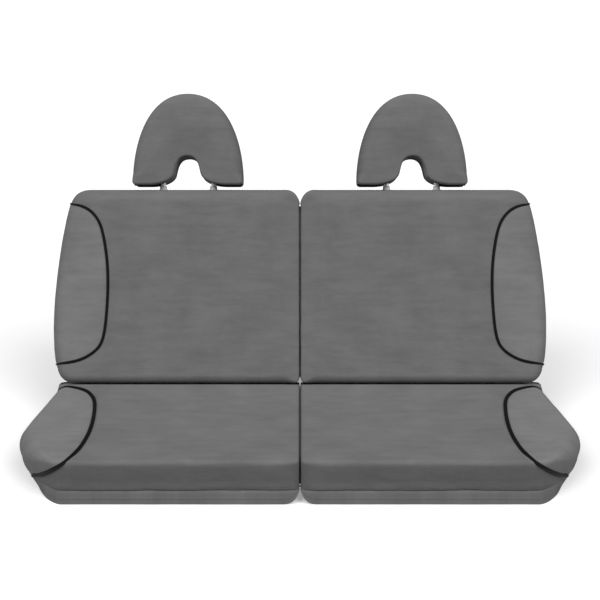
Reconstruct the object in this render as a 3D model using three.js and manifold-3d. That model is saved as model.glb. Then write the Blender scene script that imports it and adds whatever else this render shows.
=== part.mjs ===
// Rear bench seat cover set, split 50/50: two base covers, two backrest covers and two headrest
// covers, sewn from foam-backed canvas panels with piping, straps and headrest stays.
// Millimetres, +Z up, +X right, +Y to the rear. The set stands on its hems at z = 0.
import * as THREE from "three";
import { mergeVertices } from "three/addons/utils/BufferGeometryUtils.js";
import Module from "manifold-3d";

const wasm = await Module();
wasm.setup();

const { lerp, smoothstep, degToRad } = THREE.MathUtils;

// ---- driving dimensions -------------------------------------------------------------------------
const WALL = 4; // canvas with its foam backing
const SEAM = 0.3; // clearance between neighbouring pieces
const HALF = SEAM / 2;
const CENTRE_GAP = 2; // from the middle of the bench to the inner face of a cover
const RECLINE = 20; // degrees that the backrest leans back
const SHIFT_Y = 45.1; // puts the middle of the whole set over the origin
const FAR = 900; // reach of a cutting block past the covers

// Under the edge roll a base cover's wall leans in by "under" at the hem seam and "flare" at the floor.
const BASE = { top: 115, front: -436, rear: 110, hem: 36, corner: 14, gusset: 11, notch: 38 };
const BASE_SIDE = { roll: 43, under: 8, flare: 24 };
const BASE_NOSE = { roll: 17, under: 11, flare: 5 };
const BASE_INNER_ROLL = 8;
const BACK = { height: 505, depth: 110, roll: 38, rearRoll: 14, innerRoll: 6, gusset: 30 };
const BACK_CORNER = { low: 14, high: 36 }; // along the middle of the bench
const HEAD = { x: 294, low: 517, high: 757, half: 144, front: 5, depth: 95, corner: 11 };
const HEAD_ROLL = { front: 26, rear: 20, foot: 6 };
const INNER = { from: 6, to: 60 }; // the edge roll grows over this distance from the inner side
const PIPING = { base: 4.6, back: 3.6, sunk: 3.6, steps: 38 };
const POST = { radius: 6, spread: 66, y: 52, low: 400, bend: 26, high: 660 };
const GUIDE = { bore: 6.4, barrel: 10, length: 72, flange: 13, flangeHeight: 3, collar: 9, collarHeight: 9 };
const STRAP = { width: 25, thick: 1.6 };
const GLIDE = { width: 36, length: 26, thick: 4, bar: 4 };
const FOAM_THICK = 5;
const CREASE_Z = BASE.top + 5.3; // where the backrest's front meets its own underside

const CANVAS = { color: 0x6f6f70, roughness: 0.93, metalness: 0 };
const BOLSTER = { color: 0x777778, roughness: 0.93, metalness: 0 };
const CORD = { color: 0x111112, roughness: 0.7, metalness: 0 };
const FOAM = { color: 0x3a3a3c, roughness: 1, metalness: 0 };
const WEBBING = { color: 0x1a1a1b, roughness: 0.85, metalness: 0 };
const PLASTIC = { color: 0x161616, roughness: 0.5, metalness: 0 };
const GREY_PLASTIC = { color: 0xacacae, roughness: 0.5, metalness: 0 };
const STEEL = { color: 0xb4b5b8, roughness: 0.3, metalness: 0.9 };

// ---- solids -------------------------------------------------------------------------------------
function toSolid(geometry) {
  const bare = geometry.clone();
  bare.deleteAttribute("normal");
  bare.deleteAttribute("uv");
  const merged = mergeVertices(bare, 1e-4);
  return new wasm.Manifold(
    new wasm.Mesh({
      numProp: 3,
      vertProperties: new Float32Array(merged.attributes.position.array),
      triVerts: new Uint32Array(merged.index.array),
    }),
  );
}

function toGeometry(solid) {
  const mesh = solid.getMesh();
  const geometry = new THREE.BufferGeometry();
  geometry.setAttribute("position", new THREE.BufferAttribute(mesh.vertProperties, 3));
  geometry.setIndex(new THREE.BufferAttribute(mesh.triVerts, 1));
  return geometry;
}

function block(low, high) {
  const size = low.map((value, axis) => high[axis] - value);
  const box = new THREE.BoxGeometry(...size);
  box.translate(...low.map((value, axis) => value + size[axis] / 2));
  return toSolid(box);
}

// A flat outline pushed from one height to another.
function prism(points, low, high) {
  const geometry = new THREE.ExtrudeGeometry(new THREE.Shape(points), {
    depth: high - low,
    bevelEnabled: false,
    steps: 1,
  });
  geometry.translate(0, 0, low);
  return toSolid(geometry);
}

// A round rod swept along a path.
function sweep(path, radius, sides, steps) {
  const ring = [];
  for (let i = 0; i < sides; i++) {
    const angle = (i / sides) * 2 * Math.PI;
    ring.push(new THREE.Vector2(Math.cos(angle) * radius, Math.sin(angle) * radius));
  }
  const shape = new THREE.Shape(ring);
  return new THREE.ExtrudeGeometry(shape, { steps, extrudePath: path, bevelEnabled: false });
}

// ---- outlines -----------------------------------------------------------------------------------
// Points of a closed anticlockwise outline, each with the mitre that moves it inwards by 1 mm.
function outlineOf(shape, divisions) {
  const points = shape.extractPoints(divisions).shape;
  if (points[0].distanceTo(points[points.length - 1]) < 0.01) points.pop();
  if (THREE.ShapeUtils.area(points) < 0) points.reverse();
  return points.map((point, i) => {
    const before = inwardNormal(points[(i + points.length - 1) % points.length], point);
    const after = inwardNormal(point, points[(i + 1) % points.length]);
    const mitre = before.clone().add(after);
    mitre.divideScalar(1 + before.dot(after));
    return { x: point.x, y: point.y, mitre };
  });
}

function inwardNormal(from, to) {
  return new THREE.Vector2(from.y - to.y, to.x - from.x).normalize();
}

// The place on an outline that is nearest to a point.
function nearestOnOutline(outline, point) {
  const corners = outline.map(({ x, y }) => new THREE.Vector3(x, y, 0));
  const middle = new THREE.Vector3(point.x, point.y, 0);
  let nearest = corners[0];
  corners.forEach((corner, i) => {
    const edge = new THREE.Line3(corner, corners[(i + 1) % corners.length]);
    const foot = edge.closestPointToPoint(middle, true, new THREE.Vector3());
    if (foot.distanceTo(middle) < nearest.distanceTo(middle)) nearest = foot;
  });
  return nearest;
}

// Stacks the outline from the top ring down, each ring drawn in by its own inset, and some of
// them pushed to the rear as well.
function stack(outline, rings) {
  const count = outline.length;
  const positions = [];
  for (const { inset, back = () => 0, z } of rings) {
    for (const point of outline) {
      const x = point.x + point.mitre.x * inset(point);
      const y = point.y + point.mitre.y * inset(point) + back(point);
      positions.push(x, y, z(point));
    }
  }
  const index = [];
  for (let k = 0; k + 1 < rings.length; k++) {
    for (let i = 0; i < count; i++) {
      const j = (i + 1) % count;
      const [a, b] = [k * count + i, k * count + j];
      index.push(a, a + count, b + count, a, b + count, b);
    }
  }
  const last = (rings.length - 1) * count;
  for (const [a, b, c] of THREE.ShapeUtils.triangulateShape(ringPoints(positions, 0, count), [])) {
    index.push(a, b, c);
  }
  for (const [a, b, c] of THREE.ShapeUtils.triangulateShape(ringPoints(positions, last, count), [])) {
    index.push(last + a, last + c, last + b);
  }
  const geometry = new THREE.BufferGeometry();
  geometry.setAttribute("position", new THREE.Float32BufferAttribute(positions, 3));
  geometry.setIndex(index);
  return toSolid(geometry);
}

// A hair's breadth of zigzag keeps the triangulation from skipping points on straight edges.
function ringPoints(positions, first, count) {
  const points = [];
  for (let i = first; i < first + count; i++) {
    const hair = 1e-4 * Math.sin(5 * i);
    points.push(new THREE.Vector2(positions[3 * i] + hair, positions[3 * i + 1] + hair));
  }
  return points;
}

// The rings of a quarter-round edge, from the flat face (90 degrees) to the wall (0 degrees).
function rollRings(top, roll, wall, steps, side = 1) {
  const rings = [];
  for (let k = 0; k <= steps; k++) {
    const angle = ((1 - k / steps) * Math.PI) / 2;
    const radius = (point) => Math.max(roll(point) - wall, 1);
    rings.push({
      inset: (point) => wall + radius(point) * (1 - Math.cos(angle)),
      z: (point) => top - side * (wall + radius(point) * (1 - Math.sin(angle))),
    });
  }
  return side > 0 ? rings : rings.reverse();
}

// The edge roll is small along the middle of the bench, where the two halves meet.
function rollAt(innerRoll, roll) {
  return (point) => lerp(innerRoll, roll, smoothstep(point.x, INNER.from, INNER.to));
}

// Height of a rolled edge below the flat face, at a point inside the outline.
function rollDepth(outline, roll, point) {
  const edge = nearestOnOutline(outline, point);
  const radius = roll(edge);
  const reach = Math.max(radius - Math.hypot(point.x - edge.x, point.y - edge.y), 0);
  return radius - Math.sqrt(radius * radius - reach * reach);
}

// ---- piping -------------------------------------------------------------------------------------
// The flat line of a piped seam, its groove through the cover, and the cord that fills it. The groove
// and the line carry on past both ends, so that they cut right through the edge of the cover.
function pipedSeam(controls, outline, { radius, roll, top, grooveLow, outer }) {
  const beyond = 30;
  const reach = radius + 5 * SEAM;
  const line = new THREE.SplineCurve(controls.map(([x, y]) => new THREE.Vector2(x, y)));
  const points = line.getSpacedPoints(PIPING.steps);
  const side = points.map((point, i) => {
    const ahead = points[Math.min(i + 1, points.length - 1)];
    const behind = points[Math.max(i - 1, 0)];
    return inwardNormal(behind, ahead);
  });
  const moved = (distance) => {
    const copy = points.map((point, i) => point.clone().addScaledVector(side[i], distance));
    return [pastEnd(copy[1], copy[0], beyond), ...copy, pastEnd(copy.at(-2), copy.at(-1), beyond)];
  };
  const groove = prism([...moved(reach), ...moved(-reach).reverse()], grooveLow, top + beyond);
  const corners = outer.map(([x, y]) => new THREE.Vector2(x, y));
  const region = prism([...moved(0), ...corners], -FAR, top + beyond);
  const high = top + radius - PIPING.sunk;
  const path = new THREE.CatmullRomCurve3(
    points.map((point) => new THREE.Vector3(point.x, point.y, high - rollDepth(outline, roll, point))),
  );
  return { groove, region, cord: toSolid(sweep(path, radius, 6, PIPING.steps)) };
}

function pastEnd(before, end, distance) {
  return end.clone().addScaledVector(end.clone().sub(before).normalize(), distance);
}

// ---- base cover (right half, seen in plan) ------------------------------------------------------
function baseOutline() {
  const { front, rear, corner } = BASE;
  const shape = new THREE.Shape();
  shape.moveTo(CENTRE_GAP, rear);
  shape.lineTo(CENTRE_GAP, front + corner);
  shape.quadraticCurveTo(CENTRE_GAP, front, CENTRE_GAP + corner, front);
  for (const x of [60, 300, 558]) shape.lineTo(x, front);
  shape.bezierCurveTo(587, front, 688, -319, 681, -244);
  shape.bezierCurveTo(675, -180, 642, -35, 632, 55);
  shape.quadraticCurveTo(622, rear, 586, rear);
  shape.closePath();
  return outlineOf(shape, 5);
}

// A measure of the base's edge at a point: its value for the nose turns into the one for the side
// round the front corner.
function baseEdge(measure, point) {
  const share = smoothstep(point.y, BASE.front + 6, BASE.front + 106);
  return lerp(BASE_NOSE[measure], BASE_SIDE[measure], share);
}

function baseRoll(point) {
  const roll = rollAt(BASE_INNER_ROLL, baseEdge("roll", point))(point);
  return lerp(roll, BASE_INNER_ROLL, smoothstep(point.y, 0, 60));
}

// The walls lean in at the front and the outer side, and stay upright at the middle and rear.
function leanRing(measure, wall, height) {
  const share = (point) => smoothstep(point.x, 16, 60);
  const upright = (point) => smoothstep(point.y, 20, 105);
  return {
    inset: (point) => wall + baseEdge(measure, point) * share(point) * (1 - upright(point)),
    back: (point) => (point.y < BASE.front + 20 ? BASE_NOSE[measure] * (1 - share(point)) : 0),
    z: () => height,
  };
}

function baseSolid(outline, wall, floor) {
  const lower = [leanRing("under", wall, BASE.hem), leanRing("flare", wall, floor)];
  const body = stack(outline, [...rollRings(BASE.top, baseRoll, wall, wall ? 2 : 4), ...lower]);
  const size = { y: 400, z: 200 };
  const wedge = new THREE.BoxGeometry(2 * FAR, size.y, size.z);
  wedge.translate(0, 0, size.z / 2 - wall);
  wedge.rotateX(degToRad(-RECLINE));
  wedge.translate(0, 0, BASE.top);
  return body.subtract(toSolid(wedge));
}

const BASE_SEAM = [
  [612, -6], [595, -13], [577, -21], [546, -45], [522, -95], [511, -168], [506.5, -240],
  [508, -305], [516, -368], [526, -407], [536, -424], [552, -430], [570, -428.5], [584, -419.5],
];

// The hem's lower corner is cut away round an arc, where the two base covers meet.
function hemNotch() {
  const { notch, front } = BASE;
  const centre = CENTRE_GAP + notch;
  const shape = new THREE.Shape();
  shape.moveTo(-5, -5);
  shape.lineTo(centre, -5);
  shape.lineTo(centre, 0);
  shape.absarc(centre, notch, notch, -Math.PI / 2, -Math.PI, true);
  shape.lineTo(-5, notch);
  const corner = new THREE.ExtrudeGeometry(shape, { depth: 60, bevelEnabled: false, curveSegments: 6 });
  corner.rotateX(Math.PI / 2);
  corner.translate(0, front + 45, 0);
  return toSolid(corner);
}

function baseCover() {
  const { front, rear, top, hem, gusset } = BASE;
  const outline = baseOutline();
  const shell = baseSolid(outline, 0, 0)
    .subtract(baseSolid(outline, WALL, -10))
    .subtract(block([-1, front + 35, -1], [gusset + 3, rear - 10, hem - HALF]))
    .subtract(hemNotch());
  const seam = pipedSeam(BASE_SEAM, outline, {
    radius: PIPING.base,
    roll: baseRoll,
    top,
    grooveLow: top - 34,
    outer: [[700, front], [FAR, -300], [FAR, 0]],
  });
  const low = block([-FAR, -FAR, -1], [FAR, FAR, hem - HALF]);
  const upper = shell.subtract(block([-FAR, -FAR, -1], [FAR, FAR, hem + HALF]));
  const rearFrom = rear - 12;
  const gussetFrom = front + 40;
  const hemSeam = front + 106;
  const back = block([-FAR, rearFrom + HALF, -1], [FAR, FAR, FAR]);
  const inner = block([-FAR, gussetFrom, hem], [gusset, rearFrom - HALF, FAR]);
  const innerClear = block([-FAR, gussetFrom - SEAM, hem], [gusset + SEAM, rearFrom + HALF, FAR]);
  const behind = block([-FAR, HALF, -1], [FAR, rearFrom - HALF, FAR]);
  const ahead = upper.subtract(innerClear).subtract(block([-FAR, -HALF, -1], [FAR, FAR, FAR]));
  const skirt = shell.intersect(low);
  return {
    top_panel: [ahead.subtract(seam.region).subtract(seam.groove), CANVAS],
    bolster_panel: [ahead.intersect(seam.region).subtract(seam.groove), BOLSTER],
    inner_gusset: [upper.intersect(inner), CANVAS],
    tuck_panel: [upper.subtract(innerClear).intersect(behind), CANVAS],
    rear_panel: [shell.intersect(back), CANVAS],
    front_hem: [skirt.intersect(block([-FAR, -FAR, -1], [FAR, hemSeam - HALF, FAR])), CANVAS],
    side_hem: [skirt.intersect(block([300, hemSeam + HALF, -1], [FAR, rearFrom - HALF, FAR])), CANVAS],
    piping: [seam.cord, CORD],
    foam: [baseFoam(), FOAM],
    ...baseStraps(),
  };
}

function baseFoam() {
  const front = BASE.front + 50;
  const rear = -18;
  const shape = new THREE.Shape();
  shape.moveTo(16, rear);
  shape.lineTo(16, front);
  shape.lineTo(520, front);
  shape.bezierCurveTo(580, front, 628, -330, 632, -255);
  shape.lineTo(590, rear);
  const high = BASE.top - WALL - SEAM;
  return prism(shape.extractPoints(5).shape, high - FOAM_THICK, high);
}

// Two elastic straps run from the front hem to the rear panel, each through a tri-glide.
function baseStraps() {
  const pieces = {};
  const z = 20;
  const glideY = -230;
  const front = BASE.front + BASE_NOSE.under + WALL - 5 * SEAM;
  const rear = BASE.rear - WALL - SEAM;
  for (const [name, x] of [["inner", 150], ["outer", 460]]) {
    const half = STRAP.width / 2;
    pieces["strap_" + name] = [block([x - half, front, z], [x + half, rear, z + STRAP.thick]), WEBBING];
    pieces["glide_" + name] = [triGlide(x, glideY, z + STRAP.thick / 2), PLASTIC];
  }
  return pieces;
}

// A frame with a middle bar above the strap and two end bars below it.
function triGlide(x, y, z) {
  const half = GLIDE.width / 2;
  const room = STRAP.thick / 2 + SEAM;
  const side = (sign) => {
    const near = x + sign * (STRAP.width / 2 + 1);
    const far = x + sign * half;
    return block(
      [Math.min(near, far), y - GLIDE.length / 2, z - room - GLIDE.thick / 2],
      [Math.max(near, far), y + GLIDE.length / 2, z + room + GLIDE.thick / 2],
    );
  };
  const bar = (offset, low, high) => {
    const middle = y + offset;
    return block([x - half + 1, middle - GLIDE.bar / 2, low], [x + half - 1, middle + GLIDE.bar / 2, high]);
  };
  const end = (GLIDE.length - GLIDE.bar) / 2;
  return side(-1)
    .add(side(1))
    .add(bar(0, z + room, z + room + GLIDE.thick / 2))
    .add(bar(-end, z - room - GLIDE.thick / 2, z - room))
    .add(bar(end, z - room - GLIDE.thick / 2, z - room));
}

// ---- backrest cover (right half, drawn face up: x across, y up the backrest, z to the front) ----
function backOutline() {
  const shape = new THREE.Shape();
  const { low, high } = BACK_CORNER;
  shape.moveTo(CENTRE_GAP, low);
  shape.quadraticCurveTo(CENTRE_GAP, 0, CENTRE_GAP + low, 0);
  for (const x of [60, 300, 594]) shape.lineTo(x, 0);
  shape.bezierCurveTo(646, 0, 646, 85, 646, 145);
  shape.bezierCurveTo(646, 250, 622, 400, 605, 458);
  shape.bezierCurveTo(596, 488, 582, BACK.height, 548, BACK.height);
  for (const x of [300, 60, CENTRE_GAP + high]) shape.lineTo(x, BACK.height);
  const top = { x: CENTRE_GAP + 0.45 * high, y: BACK.height };
  const side = { x: CENTRE_GAP, y: BACK.height - 0.55 * high };
  shape.bezierCurveTo(top.x, top.y, side.x, side.y, CENTRE_GAP, BACK.height - high);
  shape.closePath();
  return outlineOf(shape, 5);
}

function backSolid(outline, wall) {
  const front = rollRings(0, rollAt(BACK.innerRoll, BACK.roll), wall, wall ? 2 : 4);
  const rear = rollRings(-BACK.depth, rollAt(BACK.innerRoll, BACK.rearRoll), wall, wall ? 1 : 2, -1);
  return stack(outline, [...front, ...rear]);
}

const BACK_SEAM = [
  [598, 466], [563, 459], [536, 440], [516, 404], [503, 335], [499, 265], [502, 190],
  [510, 125], [527, 89], [572, 61], [633, 49],
];

function backCover() {
  const { height, depth, roll, gusset } = BACK;
  const outline = backOutline();
  const seam = pipedSeam(BACK_SEAM, outline, {
    radius: PIPING.back,
    roll: () => roll,
    top: 0,
    grooveLow: -(roll - 3),
    outer: [[FAR, 40], [FAR, 480]],
  });
  const underside = block([12, -10, -depth + 22], [592, 12, -roll + 2]);
  const shell = backSolid(outline, 0)
    .subtract(backSolid(outline, WALL))
    .subtract(underside)
    .subtract(postHoles());
  const frontTo = -(roll - 2);
  const rearFrom = -(depth - 16);
  const innerTop = height - BACK_CORNER.high - 5;
  const front = shell.intersect(block([-FAR, -FAR, frontTo + HALF], [FAR, FAR, FAR]));
  const middle = shell.intersect(block([-FAR, -FAR, rearFrom + HALF], [FAR, FAR, frontTo - HALF]));
  const inner = block([-FAR, -FAR, -FAR], [gusset - SEAM, innerTop, FAR]);
  const innerClear = block([-FAR, -FAR, -FAR], [gusset, innerTop + SEAM, FAR]);
  return {
    front_panel: [front.subtract(seam.region).subtract(seam.groove), CANVAS],
    bolster_panel: [front.intersect(seam.region).subtract(seam.groove), BOLSTER],
    edge_gusset: [middle.subtract(innerClear), CANVAS],
    inner_gusset: [middle.intersect(inner), CANVAS],
    rear_panel: [shell.intersect(block([-FAR, -FAR, -FAR], [FAR, FAR, rearFrom - HALF])), CANVAS],
    piping: [seam.cord, CORD],
    foam: [backFoam(), FOAM],
    guide_inner: [postGuide(-1), GREY_PLASTIC],
    guide_outer: [postGuide(1), GREY_PLASTIC],
    bottom_strap: [backStrap(), WEBBING],
  };
}

function postHoles() {
  const hole = (sign) => {
    const cylinder = new THREE.CylinderGeometry(GUIDE.barrel + SEAM, GUIDE.barrel + SEAM, 40, 16);
    cylinder.translate(HEAD.x + sign * POST.spread, BACK.height, -POST.y);
    return toSolid(cylinder);
  };
  return hole(-1).add(hole(1));
}

// The barrel hangs below the top of the cover, and the flange and collar stand on it.
function postGuide(sign) {
  const g = GUIDE;
  const profile = [
    [g.bore, -g.length],
    [g.barrel, -g.length],
    [g.barrel, SEAM],
    [g.flange, SEAM],
    [g.flange, g.flangeHeight],
    [g.collar, g.flangeHeight + 1],
    [g.collar, g.collarHeight],
    [g.bore, g.collarHeight],
    [g.bore, -g.length],
  ];
  const ring = new THREE.LatheGeometry(profile.map(([r, y]) => new THREE.Vector2(r, y)), 14);
  ring.translate(HEAD.x + sign * POST.spread, BACK.height, -POST.y);
  return toSolid(ring);
}

function backFoam() {
  const [low, high] = [44, 458];
  const shape = new THREE.Shape();
  shape.moveTo(16, low);
  shape.lineTo(590, low);
  shape.quadraticCurveTo(604, 90, 604, 145);
  shape.bezierCurveTo(604, 240, 582, 390, 560, high);
  shape.lineTo(16, high);
  const face = -WALL - SEAM;
  return prism(shape.extractPoints(5).shape, face - FOAM_THICK, face);
}

// One elastic strap holds the front and rear panels together under the backrest.
function backStrap() {
  const x = 300;
  const y = 16;
  const half = STRAP.width / 2;
  const nearFront = -(WALL + 13);
  const nearRear = -(BACK.depth - WALL - SEAM);
  return block([x - half, y, nearRear], [x + half, y + STRAP.thick, nearFront]);
}

// ---- headrest cover (drawn face up about its own middle) ----------------------------------------
function headOutline() {
  const { low, high, half, corner } = HEAD;
  const shape = new THREE.Shape();
  shape.moveTo(-half + corner, low);
  shape.lineTo(-97, low);
  shape.bezierCurveTo(-60, low + 2, -42, 530, -36, 542);
  shape.bezierCurveTo(-30, 556, -32, 591, 0, 591);
  shape.bezierCurveTo(32, 591, 30, 556, 36, 542);
  shape.bezierCurveTo(42, 530, 60, low + 2, 97, low);
  shape.lineTo(half - corner, low);
  shape.quadraticCurveTo(half, low, half, low + corner);
  shape.bezierCurveTo(half, 615, 112, high, 0, high);
  shape.bezierCurveTo(-112, high, -half, 615, -half, low + corner);
  shape.quadraticCurveTo(-half, low, -half + corner, low);
  shape.closePath();
  return outlineOf(shape, 5);
}

// The roll tightens round the notch and at the foot, where the outline bends the other way.
function headRoll(roll) {
  return (point) => {
    const wide = smoothstep(Math.abs(point.x), 40, 110);
    const high = smoothstep(point.y, 595, 640);
    const foot = smoothstep(point.y, HEAD.low, HEAD.low + 40);
    return lerp(HEAD_ROLL.foot, roll, Math.max(high, wide * foot));
  };
}

function headSolid(outline, wall) {
  const front = rollRings(-HEAD.front, headRoll(HEAD_ROLL.front), wall, wall ? 1 : 3);
  const rear = rollRings(-HEAD.front - HEAD.depth, headRoll(HEAD_ROLL.rear), wall, wall ? 1 : 2, -1);
  return stack(outline, [...front, ...rear]);
}

function headCover() {
  const outline = headOutline();
  const frontTo = -(HEAD.front + 27);
  const rearFrom = -(HEAD.front + HEAD.depth - 21);
  const footDepth = 12;
  const opening = (sign) => {
    const [near, far] = [46, HEAD.half - 10].map((x) => x * sign);
    return block(
      [Math.min(near, far), HEAD.low - 5, rearFrom + 2],
      [Math.max(near, far), HEAD.low + footDepth, frontTo - 2],
    );
  };
  const shell = headSolid(outline, 0)
    .subtract(headSolid(outline, WALL))
    .subtract(opening(1))
    .subtract(opening(-1));
  const middle = shell.intersect(block([-FAR, -FAR, rearFrom + HALF], [FAR, FAR, frontTo - HALF]));
  const notch = { half: 62, high: 605 };
  const inNotch = (clear) =>
    block([-notch.half - clear, HEAD.low - 5, -FAR], [notch.half + clear, notch.high + clear, FAR]);
  return {
    front_panel: [shell.intersect(block([-FAR, -FAR, frontTo + HALF], [FAR, FAR, FAR])), CANVAS],
    rear_panel: [shell.intersect(block([-FAR, -FAR, -FAR], [FAR, FAR, rearFrom - HALF])), CANVAS],
    arch_gusset: [middle.subtract(inNotch(SEAM)), CANVAS],
    notch_gusset: [middle.intersect(inNotch(0)), CANVAS],
    stay: [headStay(), STEEL],
    closure_inner: [headClosure(-1), WEBBING],
    closure_outer: [headClosure(1), WEBBING],
  };
}

// Two posts and the bar that joins them inside the headrest, bent from one rod.
function headStay() {
  const { spread, bend, low, high, y } = POST;
  const at = (x, z) => new THREE.Vector3(x, z, -y);
  const foot = at(-spread, low);
  const corners = [
    [at(-spread, high - bend), at(-spread, high), at(bend - spread, high)],
    [at(spread - bend, high), at(spread, high), at(spread, high - bend)],
  ];
  const path = new THREE.CurvePath();
  let last = foot;
  for (const [start, middle, end] of corners) {
    path.add(new THREE.LineCurve3(last, start));
    path.add(new THREE.QuadraticBezierCurve3(start, middle, end));
    last = end;
  }
  path.add(new THREE.LineCurve3(last, at(spread, low)));
  return toSolid(sweep(path, POST.radius, 8, 28));
}

// A hook-and-loop tab closes the foot of each lobe behind its post.
function headClosure(sign) {
  const x = sign * (HEAD.half - 31);
  const y = HEAD.low + 9;
  const [front, rear] = [-(HEAD.front + WALL + 2), -(HEAD.front + HEAD.depth - WALL - 2)];
  return block([x - STRAP.width / 2, y, rear], [x + STRAP.width / 2, y + STRAP.thick, front]);
}

// ---- assembly -----------------------------------------------------------------------------------
function mirrored(geometry) {
  const copy = geometry.clone().scale(-1, 1, 1);
  const index = copy.index.array;
  for (let i = 0; i < index.length; i += 3) {
    [index[i + 1], index[i + 2]] = [index[i + 2], index[i + 1]];
  }
  return copy;
}

function addPieces(group, prefix, pieces, place) {
  for (const [name, [solid, finish]] of Object.entries(pieces)) {
    const right = place(toGeometry(solid));
    for (const side of ["left", "right"]) {
      const geometry = side === "right" ? right : mirrored(right);
      const mesh = new THREE.Mesh(geometry, new THREE.MeshStandardMaterial(finish));
      mesh.name = side + "_" + prefix + "_" + name;
      group.add(mesh);
    }
  }
}

const coverSet = new THREE.Group();
coverSet.name = "seat_cover_set";
coverSet.position.y = SHIFT_Y;

const baseGroup = new THREE.Group();
addPieces(baseGroup, "base", baseCover(), (geometry) => geometry);
coverSet.add(baseGroup);

// The backrest and headrests are drawn face up, stood on edge and then leaned back.
const backGroup = new THREE.Group();
backGroup.position.z = CREASE_Z;
backGroup.rotation.x = degToRad(-RECLINE);
const stand = (geometry) => geometry.rotateX(Math.PI / 2);
addPieces(backGroup, "back", backCover(), stand);
addPieces(backGroup, "head", headCover(), (geometry) => stand(geometry).translate(HEAD.x, 0, 0));
coverSet.add(backGroup);

export default coverSet;
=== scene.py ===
"""Looks of a rear bench seat cover set: canvas covers with piping, straps and headrest stays.

Lengths are in millimetres until a mesh is made. Each cover is drawn in its own flat frame (x across,
y along, h above the face), then placed by on_base, on_back or on_head.
"""

import math

import bpy
import numpy as np
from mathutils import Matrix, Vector, noise
from mathutils.geometry import delaunay_2d_cdt


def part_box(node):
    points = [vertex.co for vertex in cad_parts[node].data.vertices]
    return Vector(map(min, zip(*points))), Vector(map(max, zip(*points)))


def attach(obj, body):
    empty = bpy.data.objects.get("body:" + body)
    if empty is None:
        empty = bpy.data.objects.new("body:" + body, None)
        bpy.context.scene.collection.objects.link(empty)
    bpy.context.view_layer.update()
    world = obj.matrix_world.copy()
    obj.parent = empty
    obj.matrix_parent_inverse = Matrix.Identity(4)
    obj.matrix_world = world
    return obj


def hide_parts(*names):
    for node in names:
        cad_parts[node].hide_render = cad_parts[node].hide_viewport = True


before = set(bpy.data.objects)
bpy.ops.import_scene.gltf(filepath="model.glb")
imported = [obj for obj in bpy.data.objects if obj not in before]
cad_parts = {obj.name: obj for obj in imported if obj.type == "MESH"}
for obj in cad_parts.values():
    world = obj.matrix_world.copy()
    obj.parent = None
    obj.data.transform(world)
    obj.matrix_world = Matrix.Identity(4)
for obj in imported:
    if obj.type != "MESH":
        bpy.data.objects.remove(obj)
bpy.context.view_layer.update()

MM = 0.001
SIDES = (("left", -1), ("right", 1))

# ---- where the covers are ----------------------------------------------------------------------
RECLINE = math.radians(20)
SIN, COS = math.sin(RECLINE), math.cos(RECLINE)
BASE_FRONT, BASE_REAR, BASE_HEM = -436, 110, 36
NOSE_ROLL, SIDE_ROLL = 11, 43
UNDER = (11, 8)  # how far the base's nose and its side lean in at the hem seam
FLARE = (5, 24)  # and at the floor
top_low, top_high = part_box("right_base_top_panel")
BASE_TOP = top_high.z / MM
SHIFT_Y = top_low.y / MM - BASE_FRONT
CREASE_Z = BASE_TOP + 5.3
HEM_ENDS_AT = -330  # the front hem ends here and the side hem starts
HEM_NOTCH = 38  # radius of the hem's lower edge at the inner front corner
BACK_HEIGHT, BACK_DEPTH = 505, 110
BACK_SEAM_W, BACK_REAR_W = 36, 94
BACK_LOW_ROLL = 22  # the edge roll is tighter along the foot of the backrest
BACK_CORNER = 36  # radius of the upper corner at the middle of the bench
BASE_CORD, BACK_CORD, CORD_LIFT = 4.7, 3.7, 0.9
HEAD_X, HEAD_LOW, HEAD_HIGH, HEAD_HALF = 294, 517, 757, 144
HEAD_FRONT, HEAD_SEAM_W, HEAD_REAR_W, HEAD_BACK = 5, 32, 79, 100
GAP = 2  # from the middle of the bench to the inner face of a cover
POST_SPREAD, POST_W, POST_RADIUS = 66, 52, 6
CLOTH = 2.6  # canvas with its foam backing, pressed flat by the seams
INNER_FROM, INNER_TO = 6, 60  # the edge roll grows over this distance from the middle
BASE_INNER_ROLL, BACK_SMALL_ROLL, BACK_REAR_ROLL = 8, 6, 14
WALL_HEIGHT, WALL_CURVE = BASE_TOP - NOSE_ROLL - BASE_HEM, 1.25
MIDDLE_BAND, REAR_BAND = 12, 12  # how near the middle and the rear a strip of the base takes over
MEETING_BULGE = GAP - 0.04  # the two covers' inner gussets almost touch
SEAM_GAP = 0.7  # a panel stops this far short of the piping
GROOVE_DEPTH, GROOVE_WIDTH = 1.2, 7
HEM_STITCH, SEAM_STITCH = 13, 7.5  # heights of the stitches above the hem's edge and its seam
FOAM_TOP, FOAM_THICK, QUILT_PITCH = -CLOTH - 1.9, 5, 60
STRAP_WIDTH, STRAP_THICK = 25, 1.6
HOLE_RADIUS = 10.4
# The post guides: radius and height above the top of the backrest.
GUIDE_PROFILE = [
    (6.5, -72), (9.2, -72), (9.8, -71.2), (9.8, 0.4), (12.2, 0.4), (12.6, 1.0), (12.4, 1.8),
    (10.2, 2.4), (9.4, 3.4), (9.2, 10.0), (8.6, 11.0), (7.0, 11.4), (6.5, 10.8),
]
RIM_STEP, FACE_STEP = 6, 6.5  # spacing of the points along an outline and across a face
NARROWEST_SHEET, LEAST_AREA_SHARE = 12, 0.31  # limits for a sheet's stated flat size and area

# The piping's seams: x and y on the base's top, and x and height up the backrest's front.
BASE_PIPING = [
    (612, -6), (595, -13), (577, -21), (546, -45), (522, -95), (511, -168), (506.5, -240),
    (508, -305), (516, -368), (526, -407),
]
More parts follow.
